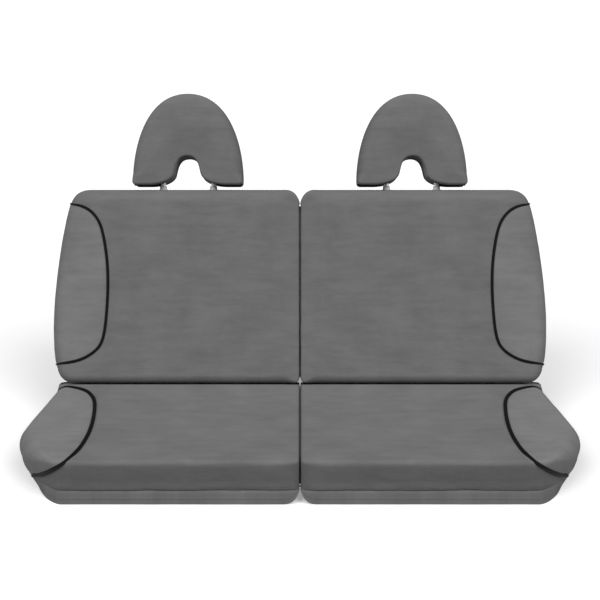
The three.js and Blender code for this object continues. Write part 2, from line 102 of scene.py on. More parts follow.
# The base's piping goes on over the nose and round the front corner to the hem seam: x, y, height.
BASE_PIPING_TAIL = [
    (533, -428, 114.3), (549, -436, 107), (569, -436, 95), (603, -407, 67), (627, -376, 48),
    (640, -356, 40),
]
BACK_PIPING = [
    (598, 466), (563, 459), (536, 440), (516, 404), (503, 335), (499, 265), (502, 190),
    (510, 125), (527, 89), (572, 61), (633, 49),
]


def on_base(p):
    return np.stack([p[:, 0], p[:, 1] + SHIFT_Y, p[:, 2] + BASE_TOP], 1)


def on_back(p):
    y = SHIFT_Y + p[:, 1] * SIN - p[:, 2] * COS
    z = CREASE_Z + p[:, 1] * COS + p[:, 2] * SIN
    return np.stack([p[:, 0], y, z], 1)


def on_head(p):
    return on_back(p + np.array([HEAD_X, 0, 0]))


# ---- small maths -------------------------------------------------------------------------------
def smooth(value, low, high):
    t = np.clip((np.asarray(value, float) - low) / (high - low), 0, 1)
    return t * t * (3 - 2 * t)


def bezier(a, b, c, d, count=40):
    t = np.linspace(0, 1, count + 1)[1:, None]
    a, b, c, d = (np.array(p, float) for p in (a, b, c, d))
    return a * (1 - t) ** 3 + 3 * b * t * (1 - t) ** 2 + 3 * c * t * t * (1 - t) + d * t ** 3


def quadratic(a, b, c, count=16):
    t = np.linspace(0, 1, count + 1)[1:, None]
    a, b, c = (np.array(p, float) for p in (a, b, c))
    return a * (1 - t) ** 2 + 2 * b * t * (1 - t) + c * t * t


def run_along(line):
    """The distance along a line at each of its points."""
    return np.concatenate([[0], np.cumsum(np.linalg.norm(np.diff(line, axis=0), axis=1))])


def unit(vectors):
    return vectors / np.maximum(np.linalg.norm(vectors, axis=1), 1e-9)[:, None]


def arch(w):
    """0 at both ends of an even row of numbers and 1 in its middle."""
    return np.sin((w - w[0]) / (w[-1] - w[0]) * math.pi)


def spaced(line, spacing, closed=False):
    """The line again, with even steps of about that spacing."""
    line = np.asarray(line, float)
    if closed:
        line = np.vstack([line, line[:1]])
    run = run_along(line)
    count = max(int(round(run[-1] / spacing)), 3)
    at = np.linspace(0, run[-1], count + 1)
    if closed:
        at = at[:-1]
    return np.stack([np.interp(at, run, line[:, k]) for k in range(line.shape[1])], 1)


def trace(start, *legs):
    """A path of legs: one point makes a straight leg, two make a quadratic and three a bezier."""
    line = [np.array([start], float)]
    for leg in legs:
        curve = {1: lambda a, b: np.array([b], float), 2: quadratic, 3: bezier}[len(leg)]
        line.append(curve(line[-1][-1], *leg))
    return np.vstack(line)


def spline(controls, spacing):
    """A Catmull-Rom curve through the control points, evenly spaced."""
    c = np.array(controls, float)
    c = np.vstack([2 * c[0] - c[1], c, 2 * c[-1] - c[-2]])
    t = np.linspace(0, 1, 24, endpoint=False)[:, None]
    parts = []
    for a, b, d, e in zip(c[:-3], c[1:-2], c[2:-1], c[3:]):
        parts.append(0.5 * (2 * b + (d - a) * t + (2 * a - 5 * b + 4 * d - e) * t ** 2
                            + (3 * b - a - 3 * d + e) * t ** 3))
    return spaced(np.vstack(parts + [c[-2:-1]]), spacing)


def nearest(points, line, closed=True):
    """For each point: distance to the line, the index of its segment and the share along it."""
    ends = np.roll(line, -1, 0) if closed else line[1:]
    starts = line if closed else line[:-1]
    along = ends - starts
    length2 = np.maximum((along ** 2).sum(1), 1e-9)
    best, index, share = [], [], []
    for block in np.array_split(points, max(len(points) // 2000, 1)):
        offset = block[:, None] - starts[None]
        t = np.clip((offset * along).sum(2) / length2, 0, 1)
        d = np.linalg.norm(offset - along * t[..., None], axis=2)
        k = d.argmin(1)
        rows = np.arange(len(block))
        best.append(d[rows, k])
        index.append(k)
        share.append(t[rows, k])
    return np.concatenate(best), np.concatenate(index), np.concatenate(share)


def inside(points, polygon):
    x, y = points[:, 0][:, None], points[:, 1][:, None]
    a, b = polygon, np.roll(polygon, -1, 0)
    crosses = (a[:, 1] > y) != (b[:, 1] > y)
    rise = np.where(b[:, 1] == a[:, 1], 1, b[:, 1] - a[:, 1])
    at = a[:, 0] + (y - a[:, 1]) / rise * (b[:, 0] - a[:, 0])
    return (crosses & (x < at)).sum(1) % 2 == 1


def ripple(points, scale, seed):
    """Smooth noise from -1 to 1 at each point, the same in every run."""
    move = Vector((seed * 17.3, seed * 5.1, seed * 9.7))
    return np.array([noise.noise(Vector(p) * scale + move) for p in points])


# ---- outlines ----------------------------------------------------------------------------------
class Rim:
    """A closed anticlockwise outline with the way in and the radius of the edge roll at each point."""

    def __init__(self, path, spacing, roll):
        self.at = spaced(path, spacing, closed=True)
        along = unit(np.roll(self.at, -1, 0) - np.roll(self.at, 1, 0))
        self.inward = np.stack([-along[:, 1], along[:, 0]], 1)
        turn = np.cross(along, np.roll(along, -1, 0))
        bend = np.maximum(turn + np.roll(turn, 1), 1e-6) / (2 * spacing)
        radius = np.minimum(roll(self.at), 0.95 / bend)
        for _ in range(3):
            radius = np.minimum(radius, (np.roll(radius, 1) + radius + np.roll(radius, -1)) / 3)
        self.roll = radius
        self.foot = self.at + self.inward * radius[:, None]


def inner_roll(small, large):
    return lambda at: small + (large - small) * smooth(at[:, 0], INNER_FROM, INNER_TO)


def base_rim():
    front, rear, corner = BASE_FRONT, BASE_REAR, 14
    ring = trace((GAP, rear - 6), [(GAP, front + corner)], [(GAP, front), (GAP + corner, front)],
                 [(558, front)], [(587, front), (688, -319), (681, -244)],
                 [(675, -180), (642, -35), (632, 55)], [(622, rear), (586, rear)],
                 [(GAP + 6, rear)])

    def roll(at):
        large = NOSE_ROLL + (SIDE_ROLL - NOSE_ROLL) * side_share(at[:, 1])
        grown = inner_roll(BASE_INNER_ROLL, large)(at)
        return BASE_INNER_ROLL + (grown - BASE_INNER_ROLL) * smooth(-at[:, 1], -60, 0)

    return Rim(ring, RIM_STEP, roll)


def side_share(y):
    """0 on the base's nose, growing to 1 on its side round the front corner."""
    return smooth(y, BASE_FRONT + 6, BASE_FRONT + 106)


def back_rim(large, small, spacing=RIM_STEP):
    high, corner, low_corner = BACK_HEIGHT, BACK_CORNER, 14
    ring = trace((GAP, low_corner), [(GAP, 0), (GAP + low_corner, 0)], [(594, 0)],
                 [(646, 0), (646, 85), (646, 145)], [(646, 250), (622, 400), (605, 458)],
                 [(596, 488), (582, high), (548, high)], [(GAP + corner, high)],
                 [(GAP + 0.45 * corner, high), (GAP, high - 0.55 * corner), (GAP, high - corner)])
    even = inner_roll(small, large)
    tight = min(large, BACK_LOW_ROLL)

    def roll(at):
        return np.minimum(even(at), tight + (large - tight) * smooth(at[:, 1], 0, 70))

    return Rim(ring, spacing, roll)


def head_rim(large):
    low, high, half = HEAD_LOW, HEAD_HIGH, HEAD_HALF
    small, notch_top = 6, 591
    ring = trace((-133, low), [(-97, low)], [(-60, low + 2), (-42, 530), (-36, 542)],
                 [(-30, 556), (-32, notch_top), (0, notch_top)],
                 [(32, notch_top), (30, 556), (36, 542)], [(42, 530), (60, low + 2), (97, low)],
                 [(133, low)], [(half, low), (half, low + 11)], [(half, 615), (112, high), (0, high)],
                 [(-112, high), (-half, 615), (-half, low + 11)], [(-half, low), (-133, low)])

    def roll(at):
        wide = smooth(abs(at[:, 0]), 40, 110) * smooth(at[:, 1], low, low + 40)
        lift = np.maximum(smooth(at[:, 1], 595, 640), wide)
        return small + (large - small) * lift

    return Rim(ring, 4, roll)


# ---- cloth faces -------------------------------------------------------------------------------
ROLL_STEPS = 8
UNROLL = 0.6  # how far a wall spreads on the flat pattern, as a share of its height


class Face:
    """A cover's face and rolled edge as one triangle mesh, laid out on its flat pattern.

    wall(t) gives the wall's points at share t of its height, and has_wall where there is one.
    Each seam is a flat line that the triangles keep to; it runs on down the roll at both ends."""

    def __init__(self, rim, spacing, wall=None, wall_height=0, has_wall=None, seams=(), depth=None,
                 tails=()):
        self.rim = rim
        self.wall, self.wall_height = wall, wall_height
        self.flat, self.local, self.seams = [], [], []
        self.squeeze = np.where(has_wall, 1, depth / rim.roll) if depth else np.ones(len(rim.at))
        count = len(rim.at)
        out = -rim.inward
        rows = []
        for k in range(ROLL_STEPS + 1):
            turn = k / ROLL_STEPS * math.pi / 2
            flat = rim.foot + out * (rim.roll * turn)[:, None]
            place = rim.foot + out * (rim.roll * math.sin(turn))[:, None]
            drop = rim.roll * self.squeeze * (1 - math.cos(turn))
            rows.append(self.add(flat, np.column_stack([place, -drop])))
        last = rows[-1].copy()
        steps = int(round(wall_height / spacing)) if wall else 0
        for k in range(1, steps + 1):
            reach = rim.roll * math.pi / 2 + UNROLL * wall_height * k / steps
            ids = self.add(rim.foot + out * reach[:, None], wall(k / steps))
            ids = np.where(has_wall, ids, -1)
            rows.append(ids)
            last = np.where(has_wall, ids, last)
        self.rows = rows
        kept = set(np.concatenate(rows).tolist()) - {-1}
        self.fill(spacing, kept)
        edges = [(last[i], last[(i + 1) % count]) for i in range(count)]
        border = set(last.tolist())
        for k, seam in enumerate(seams):
            self.seams.append(self.lay(seam, last, tails[k] if k < len(tails) else None))
        edges += [(a, b) for line in self.seams for a, b in zip(line[:-1], line[1:])]
        self.triangulate(edges, kept, border, spacing)

    def add(self, flat, local):
        start = sum(len(f) for f in self.flat)
        self.flat.append(np.asarray(flat, float))
        self.local.append(np.asarray(local, float))
        return np.arange(start, start + len(flat))

    def fill(self, spacing, kept):
        foot = self.rim.foot
        low, high = foot.min(0), foot.max(0)
        rise = spacing * math.sqrt(3) / 2
        rows = np.arange(low[1], high[1], rise)
        grid = []
        for k, y in enumerate(rows):
            x = np.arange(low[0] + (k % 2) * spacing / 2, high[0], spacing)
            grid.append(np.column_stack([x, np.full(len(x), y)]))
        grid = np.vstack(grid)
        grid = grid[inside(grid, foot)]
        grid = grid[nearest(grid, foot)[0] > 0.6 * spacing]
        ids = self.add(grid, np.column_stack([grid, np.zeros(len(grid))]))
        kept.update(ids.tolist())

    def lift(self, points):
        """Puts flat-face points on the pattern and on the rolled surface."""
        rim = self.rim
        edge, index, share = nearest(points, rim.at)
        after = (index + 1) % len(rim.at)
        roll, foot, inward, squeeze = (
            (values[index].T * (1 - share) + values[after].T * share).T
            for values in (rim.roll, rim.foot, rim.inward, self.squeeze))
        turn = np.arcsin(np.clip(1 - edge / roll, 0, 1))
        rolled = (turn > 0)[:, None]
        flat = np.where(rolled, foot - inward * (roll * turn)[:, None], points)
        height = np.where(turn > 0, -roll * squeeze * (1 - np.cos(turn)), 0)
        return flat, np.column_stack([points, height]), roll * turn

    def over_edge(self, point):
        """Puts a point of the edge roll or the wall on the pattern and on the surface."""
        rim, height = self.rim, -point[2]
        _, index, share = nearest(point[None, :2], rim.at)
        i, j, t = index[0], (index[0] + 1) % len(rim.at), share[0]
        roll = rim.roll[i] * (1 - t) + rim.roll[j] * t
        foot = rim.foot[i] * (1 - t) + rim.foot[j] * t
        out = -(rim.inward[i] * (1 - t) + rim.inward[j] * t)
        if height < roll:
            turn = math.acos(1 - height / roll)
            place = foot + out * (roll * math.sin(turn))
            return foot + out * (roll * turn), np.append(place, -height), index[0] + t
        wall_end = -(self.wall(1.0)[i, 2] * (1 - t) + self.wall(1.0)[j, 2] * t)
        down = min((height - roll) / (wall_end - roll), 1)
        place = self.wall(down)[i] * (1 - t) + self.wall(down)[j] * t
        reach = roll * math.pi / 2 + UNROLL * self.wall_height * down
        return foot + out * reach, place, index[0] + t

    def lay(self, line, last, tail=None):
        """Adds a seam: the line on the face, and its way down the roll or its own tail."""
        flat, local, reach = self.lift(line)
        ids = self.add(flat, local).tolist()
        if tail is not None:
            laid = [self.over_edge(p) for p in tail]
            ids += self.add([p[0] for p in laid], [p[1] for p in laid]).tolist()
            ids.append(int(last[int(round(laid[-1][2])) % len(last)]))
        for end in (0,) if tail is not None else (0, -1):
            at = nearest(line[end][None], self.rim.at)
            i = int((at[1][0] + round(at[2][0])) % len(self.rim.at))
            down = [r[i] for r in self.rows if r[i] >= 0]
            runs = np.linalg.norm(np.vstack(self.flat)[down] - self.rim.foot[i], axis=1)
            past = [b for b, run in zip(down, runs) if run > reach[end] + 3]
            ids = past[::-1] + ids if end == 0 else ids + past
        return ids

    def triangulate(self, edges, kept, border, spacing):
        flat, local = np.vstack(self.flat), np.vstack(self.local)
        on_seam = set(i for line in self.seams for i in line)
        loose = np.array(sorted(kept - border - on_seam))
        for line in self.seams:
            gap = nearest(flat[loose], flat[line], closed=False)[0]
            loose = loose[gap > 0.55 * spacing]
        used = np.array(sorted(set(loose.tolist()) | border | on_seam))
        new = {int(old): k for k, old in enumerate(used)}
        result = delaunay_2d_cdt([Vector(p) for p in flat[used]],
                                 [(new[int(a)], new[int(b)]) for a, b in edges], [], 1, 1e-5)
        source = [ids[0] if ids else -1 for ids in result[3]]
        if -1 in source:
            raise ValueError("two lines of the pattern cross")
        self.flat = flat[used][source]
        self.local = local[used][source]
        back = {}
        for k, ids in enumerate(result[3]):
            for i in ids:
                back[int(used[i])] = k
        self.seams = [[back[int(i)] for i in line] for line in self.seams]
        faces = np.array([f for f in result[2] if len(f) == 3])
        a, b, c = (self.flat[faces[:, k]] for k in range(3))
        turned = np.cross(b - a, c - a) < 0
        faces[turned] = faces[turned][:, ::-1]
        self.faces = faces

    def side_of(self, seam):
        """True for the triangles on the left of the seam's line."""
        line = self.flat[self.seams[seam]]
        middle = self.flat[self.faces].mean(1)
        _, index, _ = nearest(middle, line, closed=False)
        along = line[index + 1] - line[index]
        return np.cross(along, middle - line[index]) > 0


def longest_run(wanted):
    """The longest unbroken run of wanted points round a closed outline."""
    count = len(wanted)
    best = []
    for start in range(count):
        if wanted[start - 1] and not wanted.all():
            continue
        run = []
        while len(run) < count and wanted[(start + len(run)) % count]:
            run.append((start + len(run)) % count)
        best = max(best, run, key=len)
    return best


def band(rim, wanted, rows):
    """A strip along part of a rim. rows(i) gives the points down the strip at rim point i."""
    grid = np.array([rows(i) for i in longest_run(wanted)])
    length, height = grid.shape[:2]
    ids = np.arange(length * height).reshape(length, height)
    faces = np.stack([ids[:-1, :-1], ids[:-1, 1:], ids[1:, 1:], ids[1:, :-1]], -1).reshape(-1, 4)
    run, down = run_along(grid[:, 0]), run_along(grid[0])
    flat = np.stack(np.broadcast_arrays(run[:, None], down[None]), -1).reshape(-1, 2)
    return grid.reshape(-1, 3), faces, flat


def trimmed(points, faces, flat, keep):
    used = np.unique(faces[keep])
    new = np.full(len(points), -1)
    new[used] = np.arange(len(used))
    return points[used], new[faces[keep]], flat[used], used


def point_normals(points, faces):
    if faces.shape[1] == 3:
        cross = np.cross(points[faces[:, 1]] - points[faces[:, 0]],
                         points[faces[:, 2]] - points[faces[:, 0]])
    else:
        cross = np.cross(points[faces[:, 2]] - points[faces[:, 0]],
                         points[faces[:, 3]] - points[faces[:, 1]])
    total = np.zeros_like(points)
    for k in range(faces.shape[1]):
        np.add.at(total, faces[:, k], cross)
    return unit(total)


def border_edges(faces):
    """The directed edges that only one face uses."""
    pairs = np.vstack([faces[:, [k, (k + 1) % faces.shape[1]]] for k in range(faces.shape[1])])
    known = set(map(tuple, pairs.tolist()))
    return np.array([p for p in pairs.tolist() if (p[1], p[0]) not in known])


def thickened(points, faces, lower):
    """A closed sheet from its upper and lower points, and how many faces go round its edge."""
    count = len(points)
    rim_faces = [(b, a, a + count, b + count) for a, b in border_edges(faces).tolist()]
    return (np.vstack([points, lower]), faces.tolist() + (faces[:, ::-1] + count).tolist() + rim_faces,
            len(rim_faces))


# ---- pieces ------------------------------------------------------------------------------------
def make_object(name, points, faces, flat, materials, indices=None, sharp=50):
    mesh = bpy.data.meshes.new(name)
    mesh.from_pydata((np.asarray(points) * MM).tolist(), [], [tuple(f) for f in faces])
    for material in materials:
        mesh.materials.append(material)
    if indices is not None:
        mesh.polygons.foreach_set("material_index", np.asarray(indices, np.int32))
    mesh.polygons.foreach_set("use_smooth", [True] * len(mesh.polygons))
    cloth = mesh.attributes.new("cloth", "FLOAT_VECTOR", "POINT")
    pattern = np.column_stack([flat, np.zeros(len(flat))]) * MM
    cloth.data.foreach_set("vector", pattern.astype(np.float32).ravel())
    mesh.update()
    mesh.set_sharp_from_angle(angle=math.radians(sharp))
    obj = bpy.data.objects.new(name, mesh)
    bpy.context.scene.collection.objects.link(obj)
    return obj


def mirrored(points, faces, sign):
    """The right-hand mesh as it is, or mirrored for the left-hand side."""
    if sign > 0:
        return points, faces
    turned = faces[:, ::-1] if isinstance(faces, np.ndarray) else [tuple(f)[::-1] for f in faces]
    return points * np.array([-1, 1, 1]), turned


def sheet_size(points, faces, flat):
    """A sheet's flat size and area: the size grows until the shape fits in it by area."""
    corners = [points[faces[:, k]] for k in range(faces.shape[1])]
    area = 0
    for a, b in zip(corners[1:-1], corners[2:]):
        area += np.linalg.norm(np.cross(a - corners[0], b - corners[0]), axis=1).sum() / 2
    size = np.maximum(flat.max(0) - flat.min(0), NARROWEST_SHEET)
    size *= max(1, math.sqrt(area / (size[0] * size[1])))
    return size, max(area, LEAST_AREA_SHARE * size[0] * size[1])


def ring_faces(rings, sides, closed=False):
    """The faces between rings of points: each ring joins the next, and the last the first if closed."""
    faces = []
    for i in range(rings if closed else rings - 1):
        j = (i + 1) % rings
        for k in range(sides):
            m = (k + 1) % sides
            faces.append((i * sides + k, i * sides + m, j * sides + m, j * sides + k))
    return faces


def tube_mesh(path, radius, sides=12, closed=False, squeeze=1.0):
    """A round tube along a path, with rounded ends. radius is a number or one for each point."""
    path = np.asarray(path, float)
    count = len(path)
    radius = np.broadcast_to(np.asarray(radius, float), (count,)).copy()
    along = np.roll(path, -1, 0) - np.roll(path, 1, 0) if closed else np.gradient(path, axis=0)
    along = unit(along)
    side = np.cross(along[0], [0.0, 0.0, 1.0])
    if np.linalg.norm(side) < 0.1:
        side = np.cross(along[0], [1.0, 0.0, 0.0])
    angles = np.linspace(0, 2 * math.pi, sides, endpoint=False)
    cosines, sines = np.cos(angles)[:, None], squeeze * np.sin(angles)[:, None]
    rings = []
    for p, r, d in zip(path, radius, along):
        side = side - d * (side @ d)
        side /= np.linalg.norm(side)
        rings.append(p + r * (cosines * side + sines * np.cross(d, side)))
    run = run_along(path)
    points = np.vstack(rings)
    flat = np.column_stack([np.repeat(run, sides), np.tile(angles * radius.mean(), count)])
    faces = ring_faces(count, sides, closed)
    for end in () if closed else (0, count - 1):
        tip = len(points)
        points = np.vstack([points, path[end] + along[end] * (0.6 * radius[end] * (1 if end else -1))])
        flat = np.vstack([flat, [run[end], 0]])
        for k in range(sides):
            a, b = end * sides + k, end * sides + (k + 1) % sides
            faces.append((a, b, tip) if end else (a, tip, b))
    return points, faces, flat


def joined(parts):
    """Several (points, faces, flat) parts as one."""
    points, faces, flats, start = [], [], [], 0
    for p, f, u in parts:
        points.append(p)
        flats.append(u)
        faces += [tuple(int(i) + start for i in face) for face in f]
        start += len(p)
    return np.vstack(points), faces, np.vstack(flats)


def stitches(line, normals, pitch=7.0, length=4.6, radius=0.45, proud=0.35):
    """A row of thread stitches that dip into the cloth at both ends."""
    run = run_along(line)
    parts = []
    share = np.linspace(0, 1, 5)
    height = np.sin(share * math.pi) * (radius + proud) - 0.5 * radius
    for start in np.arange(pitch / 2, run[-1] - length, pitch):
        at = start + share * length
        path = np.stack([np.interp(at, run, line[:, k]) for k in range(3)], 1)
        up = np.stack([np.interp(at, run, normals[:, k]) for k in range(3)], 1)
        parts.append(tube_mesh(path + up * height[:, None], radius, sides=5))
    return joined(parts)


# ---- materials ---------------------------------------------------------------------------------
class Shader:
    """A Principled material with short ways to add its nodes."""

    def __init__(self, name, color, roughness, **values):
        self.material = bpy.data.materials.new(name)
        self.material.use_nodes = True
        self.tree = self.material.node_tree
        self.surface = self.tree.nodes["Principled BSDF"]
        self.color = color
        self.set("Base Color", (*color, 1))
        self.set("Roughness", roughness)
        for socket, value in values.items():
            self.set(socket.replace("_", " "), value)

    def set(self, socket, value):
        self.surface.inputs[socket].default_value = value

    def node(self, kind, inputs=None, **settings):
        made = self.tree.nodes.new(kind)
        for key, value in settings.items():
            setattr(made, key, value)
        for key, value in (inputs or {}).items():
            if isinstance(value, bpy.types.NodeSocket):
                self.tree.links.new(value, made.inputs[key])
            else:
                made.inputs[key].default_value = value
        return made

    def math(self, operation, a, b=0.0, clamp=False):
        return self.node("ShaderNodeMath", {0: a, 1: b}, operation=operation, use_clamp=clamp).outputs[0]

    def pattern(self):
        return self.node("ShaderNodeAttribute", attribute_name="cloth").outputs["Vector"]

    def scaled(self, vector, x, y, z=1.0):
        return self.node("ShaderNodeVectorMath", {0: vector, 1: (x, y, z)}, operation="MULTIPLY").outputs[0]

    def noise(self, vector, scale, detail=2.0, roughness=0.5):
        inputs = {"Vector": vector, "Scale": scale, "Detail": detail, "Roughness": roughness}
        return self.node("ShaderNodeTexNoise", inputs).outputs["Fac"]

    def tint(self, factor):
        """Multiplies the base colour by a grey factor."""
        grey = self.node("ShaderNodeCombineColor", {0: factor, 1: factor, 2: factor}).outputs[0]
        mix = self.node("ShaderNodeMix", {0: 1.0, 6: (*self.color, 1), 7: grey},
                        data_type="RGBA", blend_type="MULTIPLY")
        self.tree.links.new(mix.outputs[2], self.surface.inputs["Base Color"])

    def bump(self, height, distance, strength=1.0, before=None):
        inputs = {"Height": height, "Distance": distance, "Strength": strength}
        if before is not None:
            inputs["Normal"] = before
        return self.node("ShaderNodeBump", inputs).outputs[0]

    def normal(self, socket):
        self.tree.links.new(socket, self.surface.inputs["Normal"])

    def varied(self, base, amount, height):
        """Roughness that follows a pattern a little."""
        value = self.math("ADD", self.math("MULTIPLY", height, amount), base - amount / 2)
        self.tree.links.new(value, self.surface.inputs["Roughness"])


def weave_height(shader, vector, threads):
    """Height of a plain weave with that many threads a metre: a chequer of rounded floats."""
    parts = shader.node("ShaderNodeSeparateXYZ", {0: vector})
    waves = [shader.math("SINE", shader.math("MULTIPLY", parts.outputs[k], threads * math.pi))
             for k in (0, 1)]
    return shader.math("MULTIPLY", waves[0], waves[1])


def canvas(name, color):
    shader = Shader(name, color, 0.92, Specular_IOR_Level=0.25, Sheen_Weight=0.12,
                    Sheen_Roughness=0.55)
    cloth = shader.pattern()
    across = shader.noise(shader.scaled(cloth, 30, 620), 1.0, 3.0, 0.55)
    down = shader.noise(shader.scaled(cloth, 620, 30), 1.0, 3.0, 0.55)
    cloudy = shader.noise(cloth, 9.0, 4.0, 0.6)
    worn = shader.noise(shader.scaled(cloth, 9, 46), 1.0, 5.0, 0.66)
    fine = shader.noise(cloth, 420.0, 2.0, 0.6)
    lint = shader.node("ShaderNodeTexVoronoi", {"Vector": cloth, "Scale": 26.0}).outputs["Distance"]
    speck = shader.math("LESS_THAN", lint, 0.035)
    weave = weave_height(shader, cloth, 820)
    total = 1.0
    for part, amount in ((across, 0.16), (down, 0.12), (cloudy, 0.5), (worn, 0.46), (fine, 0.14)):
        total = shader.math("ADD", shader.math("MULTIPLY", shader.math("SUBTRACT", part, 0.5), amount),
                            total)
    total = shader.math("ADD", shader.math("MULTIPLY", weave, 0.045), total)
    total = shader.math("ADD", shader.math("MULTIPLY", speck, 0.16), total)
    shader.tint(total)
    slub = shader.math("ADD", across, down)
    soft = shader.bump(worn, 0.0016, 0.5)
    thread = shader.bump(slub, 0.00035, 0.6, soft)
    shader.normal(shader.bump(weave, 0.00012, 0.7, thread))
    shader.varied(0.92, 0.08, fine)
    return shader.material


def cord_cover(name, color):
    """A bias strip wrapped round the piping cord: a fine diagonal weave with a soft shine."""
    shader = Shader(name, color, 0.7, Specular_IOR_Level=0.15, Sheen_Weight=0.02)
    cloth = shader.pattern()
    turned = shader.node("ShaderNodeVectorRotate", {"Vector": cloth, "Angle": math.radians(45)},
                         rotation_type="Z_AXIS").outputs[0]
    weave = weave_height(shader, turned, 1100)
    grain = shader.noise(cloth, 180.0, 3.0, 0.6)
    shader.tint(shader.math("ADD", shader.math("MULTIPLY", grain, 0.5), 0.75))
    puckers = shader.noise(shader.scaled(cloth, 95, 20), 1.0, 2.0)
    shader.normal(shader.bump(weave, 0.00015, 0.6, shader.bump(puckers, 0.0008, 0.5)))
    shader.varied(0.7, 0.2, grain)
    return shader.material


def lining(name, color):
    """Foam backing with a knitted scrim: small diamonds over open cells."""
    shader = Shader(name, color, 1.0, Sheen_Weight=0.1)
    place = shader.node("ShaderNodeTexCoord").outputs["Object"]
    cells = shader.node("ShaderNodeTexVoronoi", {"Vector": place, "Scale": 420.0}).outputs["Distance"]
    cloud = shader.noise(place, 22.0, 3.0)
    shader.tint(shader.math("ADD", shader.math("MULTIPLY", cloud, 0.4), 0.8))
    shader.normal(shader.bump(cells, 0.0008, 0.7))
    shader.varied(0.95, 0.1, cells)
    return shader.material


def webbing(name, color):
    """Woven strap: ribs across it and a raised selvage pattern along it."""
    shader = Shader(name, color, 0.7, Specular_IOR_Level=0.4, Sheen_Weight=0.08)
    cloth = shader.pattern()
    ribs = weave_height(shader, shader.scaled(cloth, 1.0, 0.5), 900)
    grain = shader.noise(shader.scaled(cloth, 60, 900), 1.0, 2.0)
    shader.tint(shader.math("ADD", shader.math("MULTIPLY", grain, 0.8), 0.6))
    shader.normal(shader.bump(ribs, 0.0004, 0.8))
    shader.varied(0.7, 0.2, grain)
    return shader.material


def moulded(name, color, roughness):
    """Moulded nylon with a fine spark-eroded grain."""
    shader = Shader(name, color, roughness, Specular_IOR_Level=0.5)
    place = shader.node("ShaderNodeTexCoord").outputs["Object"]
    grain = shader.noise(place, 1400.0, 2.0)
    cloud = shader.noise(place, 60.0, 2.0)
    shader.tint(shader.math("ADD", shader.math("MULTIPLY", cloud, 0.2), 0.9))
    shader.normal(shader.bump(grain, 0.0002, 0.4))
    shader.varied(roughness, 0.15, cloud)
    return shader.material


def satin_steel(name, color):
    """Zinc-plated rod: drawn along its length, with a few faint rubs from the guides."""
    shader = Shader(name, color, 0.38, Metallic=1.0)
    cloth = shader.pattern()
    drawn = shader.noise(shader.scaled(cloth, 25, 1500), 1.0, 3.0)
    rubs = shader.noise(shader.scaled(cloth, 60, 90), 1.0, 3.0)
    shader.tint(shader.math("ADD", shader.math("MULTIPLY", rubs, 0.16), 0.9))
    shader.normal(shader.bump(drawn, 0.00006, 0.5))
    shader.varied(0.38, 0.16, drawn)
    return shader.material


def thread(name, color):
    """Polyester thread with its twist."""
    shader = Shader(name, color, 0.6, Sheen_Weight=0.1)
    cloth = shader.pattern()
    parts = shader.node("ShaderNodeSeparateXYZ", {0: cloth})
    slope = shader.math("ADD", shader.math("MULTIPLY", parts.outputs[0], 5000.0),
                        shader.math("MULTIPLY", parts.outputs[1], 6000.0))
    twist = shader.math("SINE", slope)
    shader.tint(shader.math("ADD", shader.math("MULTIPLY", twist, 0.12), 0.95))
    shader.normal(shader.bump(twist, 0.00008, 0.6))
    shader.varied(0.6, 0.1, twist)
    return shader.material


CANVAS = canvas("grey_canvas", (0.158, 0.158, 0.159))
BOLSTER = canvas("bolster_canvas", (0.192, 0.192, 0.193))
PIPING = cord_cover("black_piping", (0.003, 0.003, 0.0033))
LINING = lining("foam_lining", (0.045, 0.045, 0.048))
WEBBING = webbing("black_webbing", (0.014, 0.014, 0.015))
NYLON = moulded("black_nylon", (0.016, 0.016, 0.017), 0.5)
GREY_NYLON = moulded("grey_nylon", (0.8, 0.8, 0.81), 0.5)
STEEL = satin_steel("satin_steel", (0.85, 0.85, 0.87))
THREAD = thread("grey_thread", (0.13, 0.13, 0.132))


# ---- camera, light and floor -------------------------------------------------------------------
PLANE_MM_PER_PIXEL = 2.6
VIEW_DISTANCE = 3500
TARGET_UP = 216  # how far up the backrest the camera looks
PICTURE = 600
SENSOR = 36
FLOOR_GLOW = 0.3


def set_camera():
    data = bpy.data.cameras.new("camera")
    data.sensor_width = SENSOR
    data.lens = SENSOR * VIEW_DISTANCE / (PICTURE * PLANE_MM_PER_PIXEL)
    camera = bpy.data.objects.new("camera", data)
    bpy.context.scene.collection.objects.link(camera)
    target = Vector((0, SHIFT_Y + TARGET_UP * SIN, CREASE_Z + TARGET_UP * COS))
    camera.location = (target - Vector((0, COS, -SIN)) * VIEW_DISTANCE) * MM
    camera.rotation_euler = (math.pi / 2 - RECLINE, 0, 0)
    bpy.context.scene.camera = camera


def set_world(above, below):
    """Soft light from all round, weaker from below."""
    world = bpy.data.worlds.new("studio")
    world.use_nodes = True
    tree = world.node_tree
    tree.nodes["Background"].inputs["Color"].default_value = (1, 1, 1, 1)
    place = tree.nodes.new("ShaderNodeTexCoord")
    split = tree.nodes.new("ShaderNodeSeparateXYZ")
    ramp = tree.nodes.new("ShaderNodeMapRange")
    ramp.inputs["From Min"].default_value = -0.5
    ramp.inputs["From Max"].default_value = 0.5
    ramp.inputs["To Min"].default_value = below
    ramp.inputs["To Max"].default_value = above
    tree.links.new(place.outputs["Generated"], split.inputs[0])
    tree.links.new(split.outputs["Z"], ramp.inputs["Value"])
    tree.links.new(ramp.outputs[0], tree.nodes["Background"].inputs["Strength"])
    bpy.context.scene.world = world


def add_sun(name, elevation, azimuth, strength, spread):
    data = bpy.data.lights.new(name, "SUN")
    data.energy = strength
    data.angle = math.radians(spread)
    sun = bpy.data.objects.new(name, data)
    sun.rotation_euler = (math.radians(90 - elevation), 0, math.radians(azimuth))
    bpy.context.scene.collection.objects.link(sun)


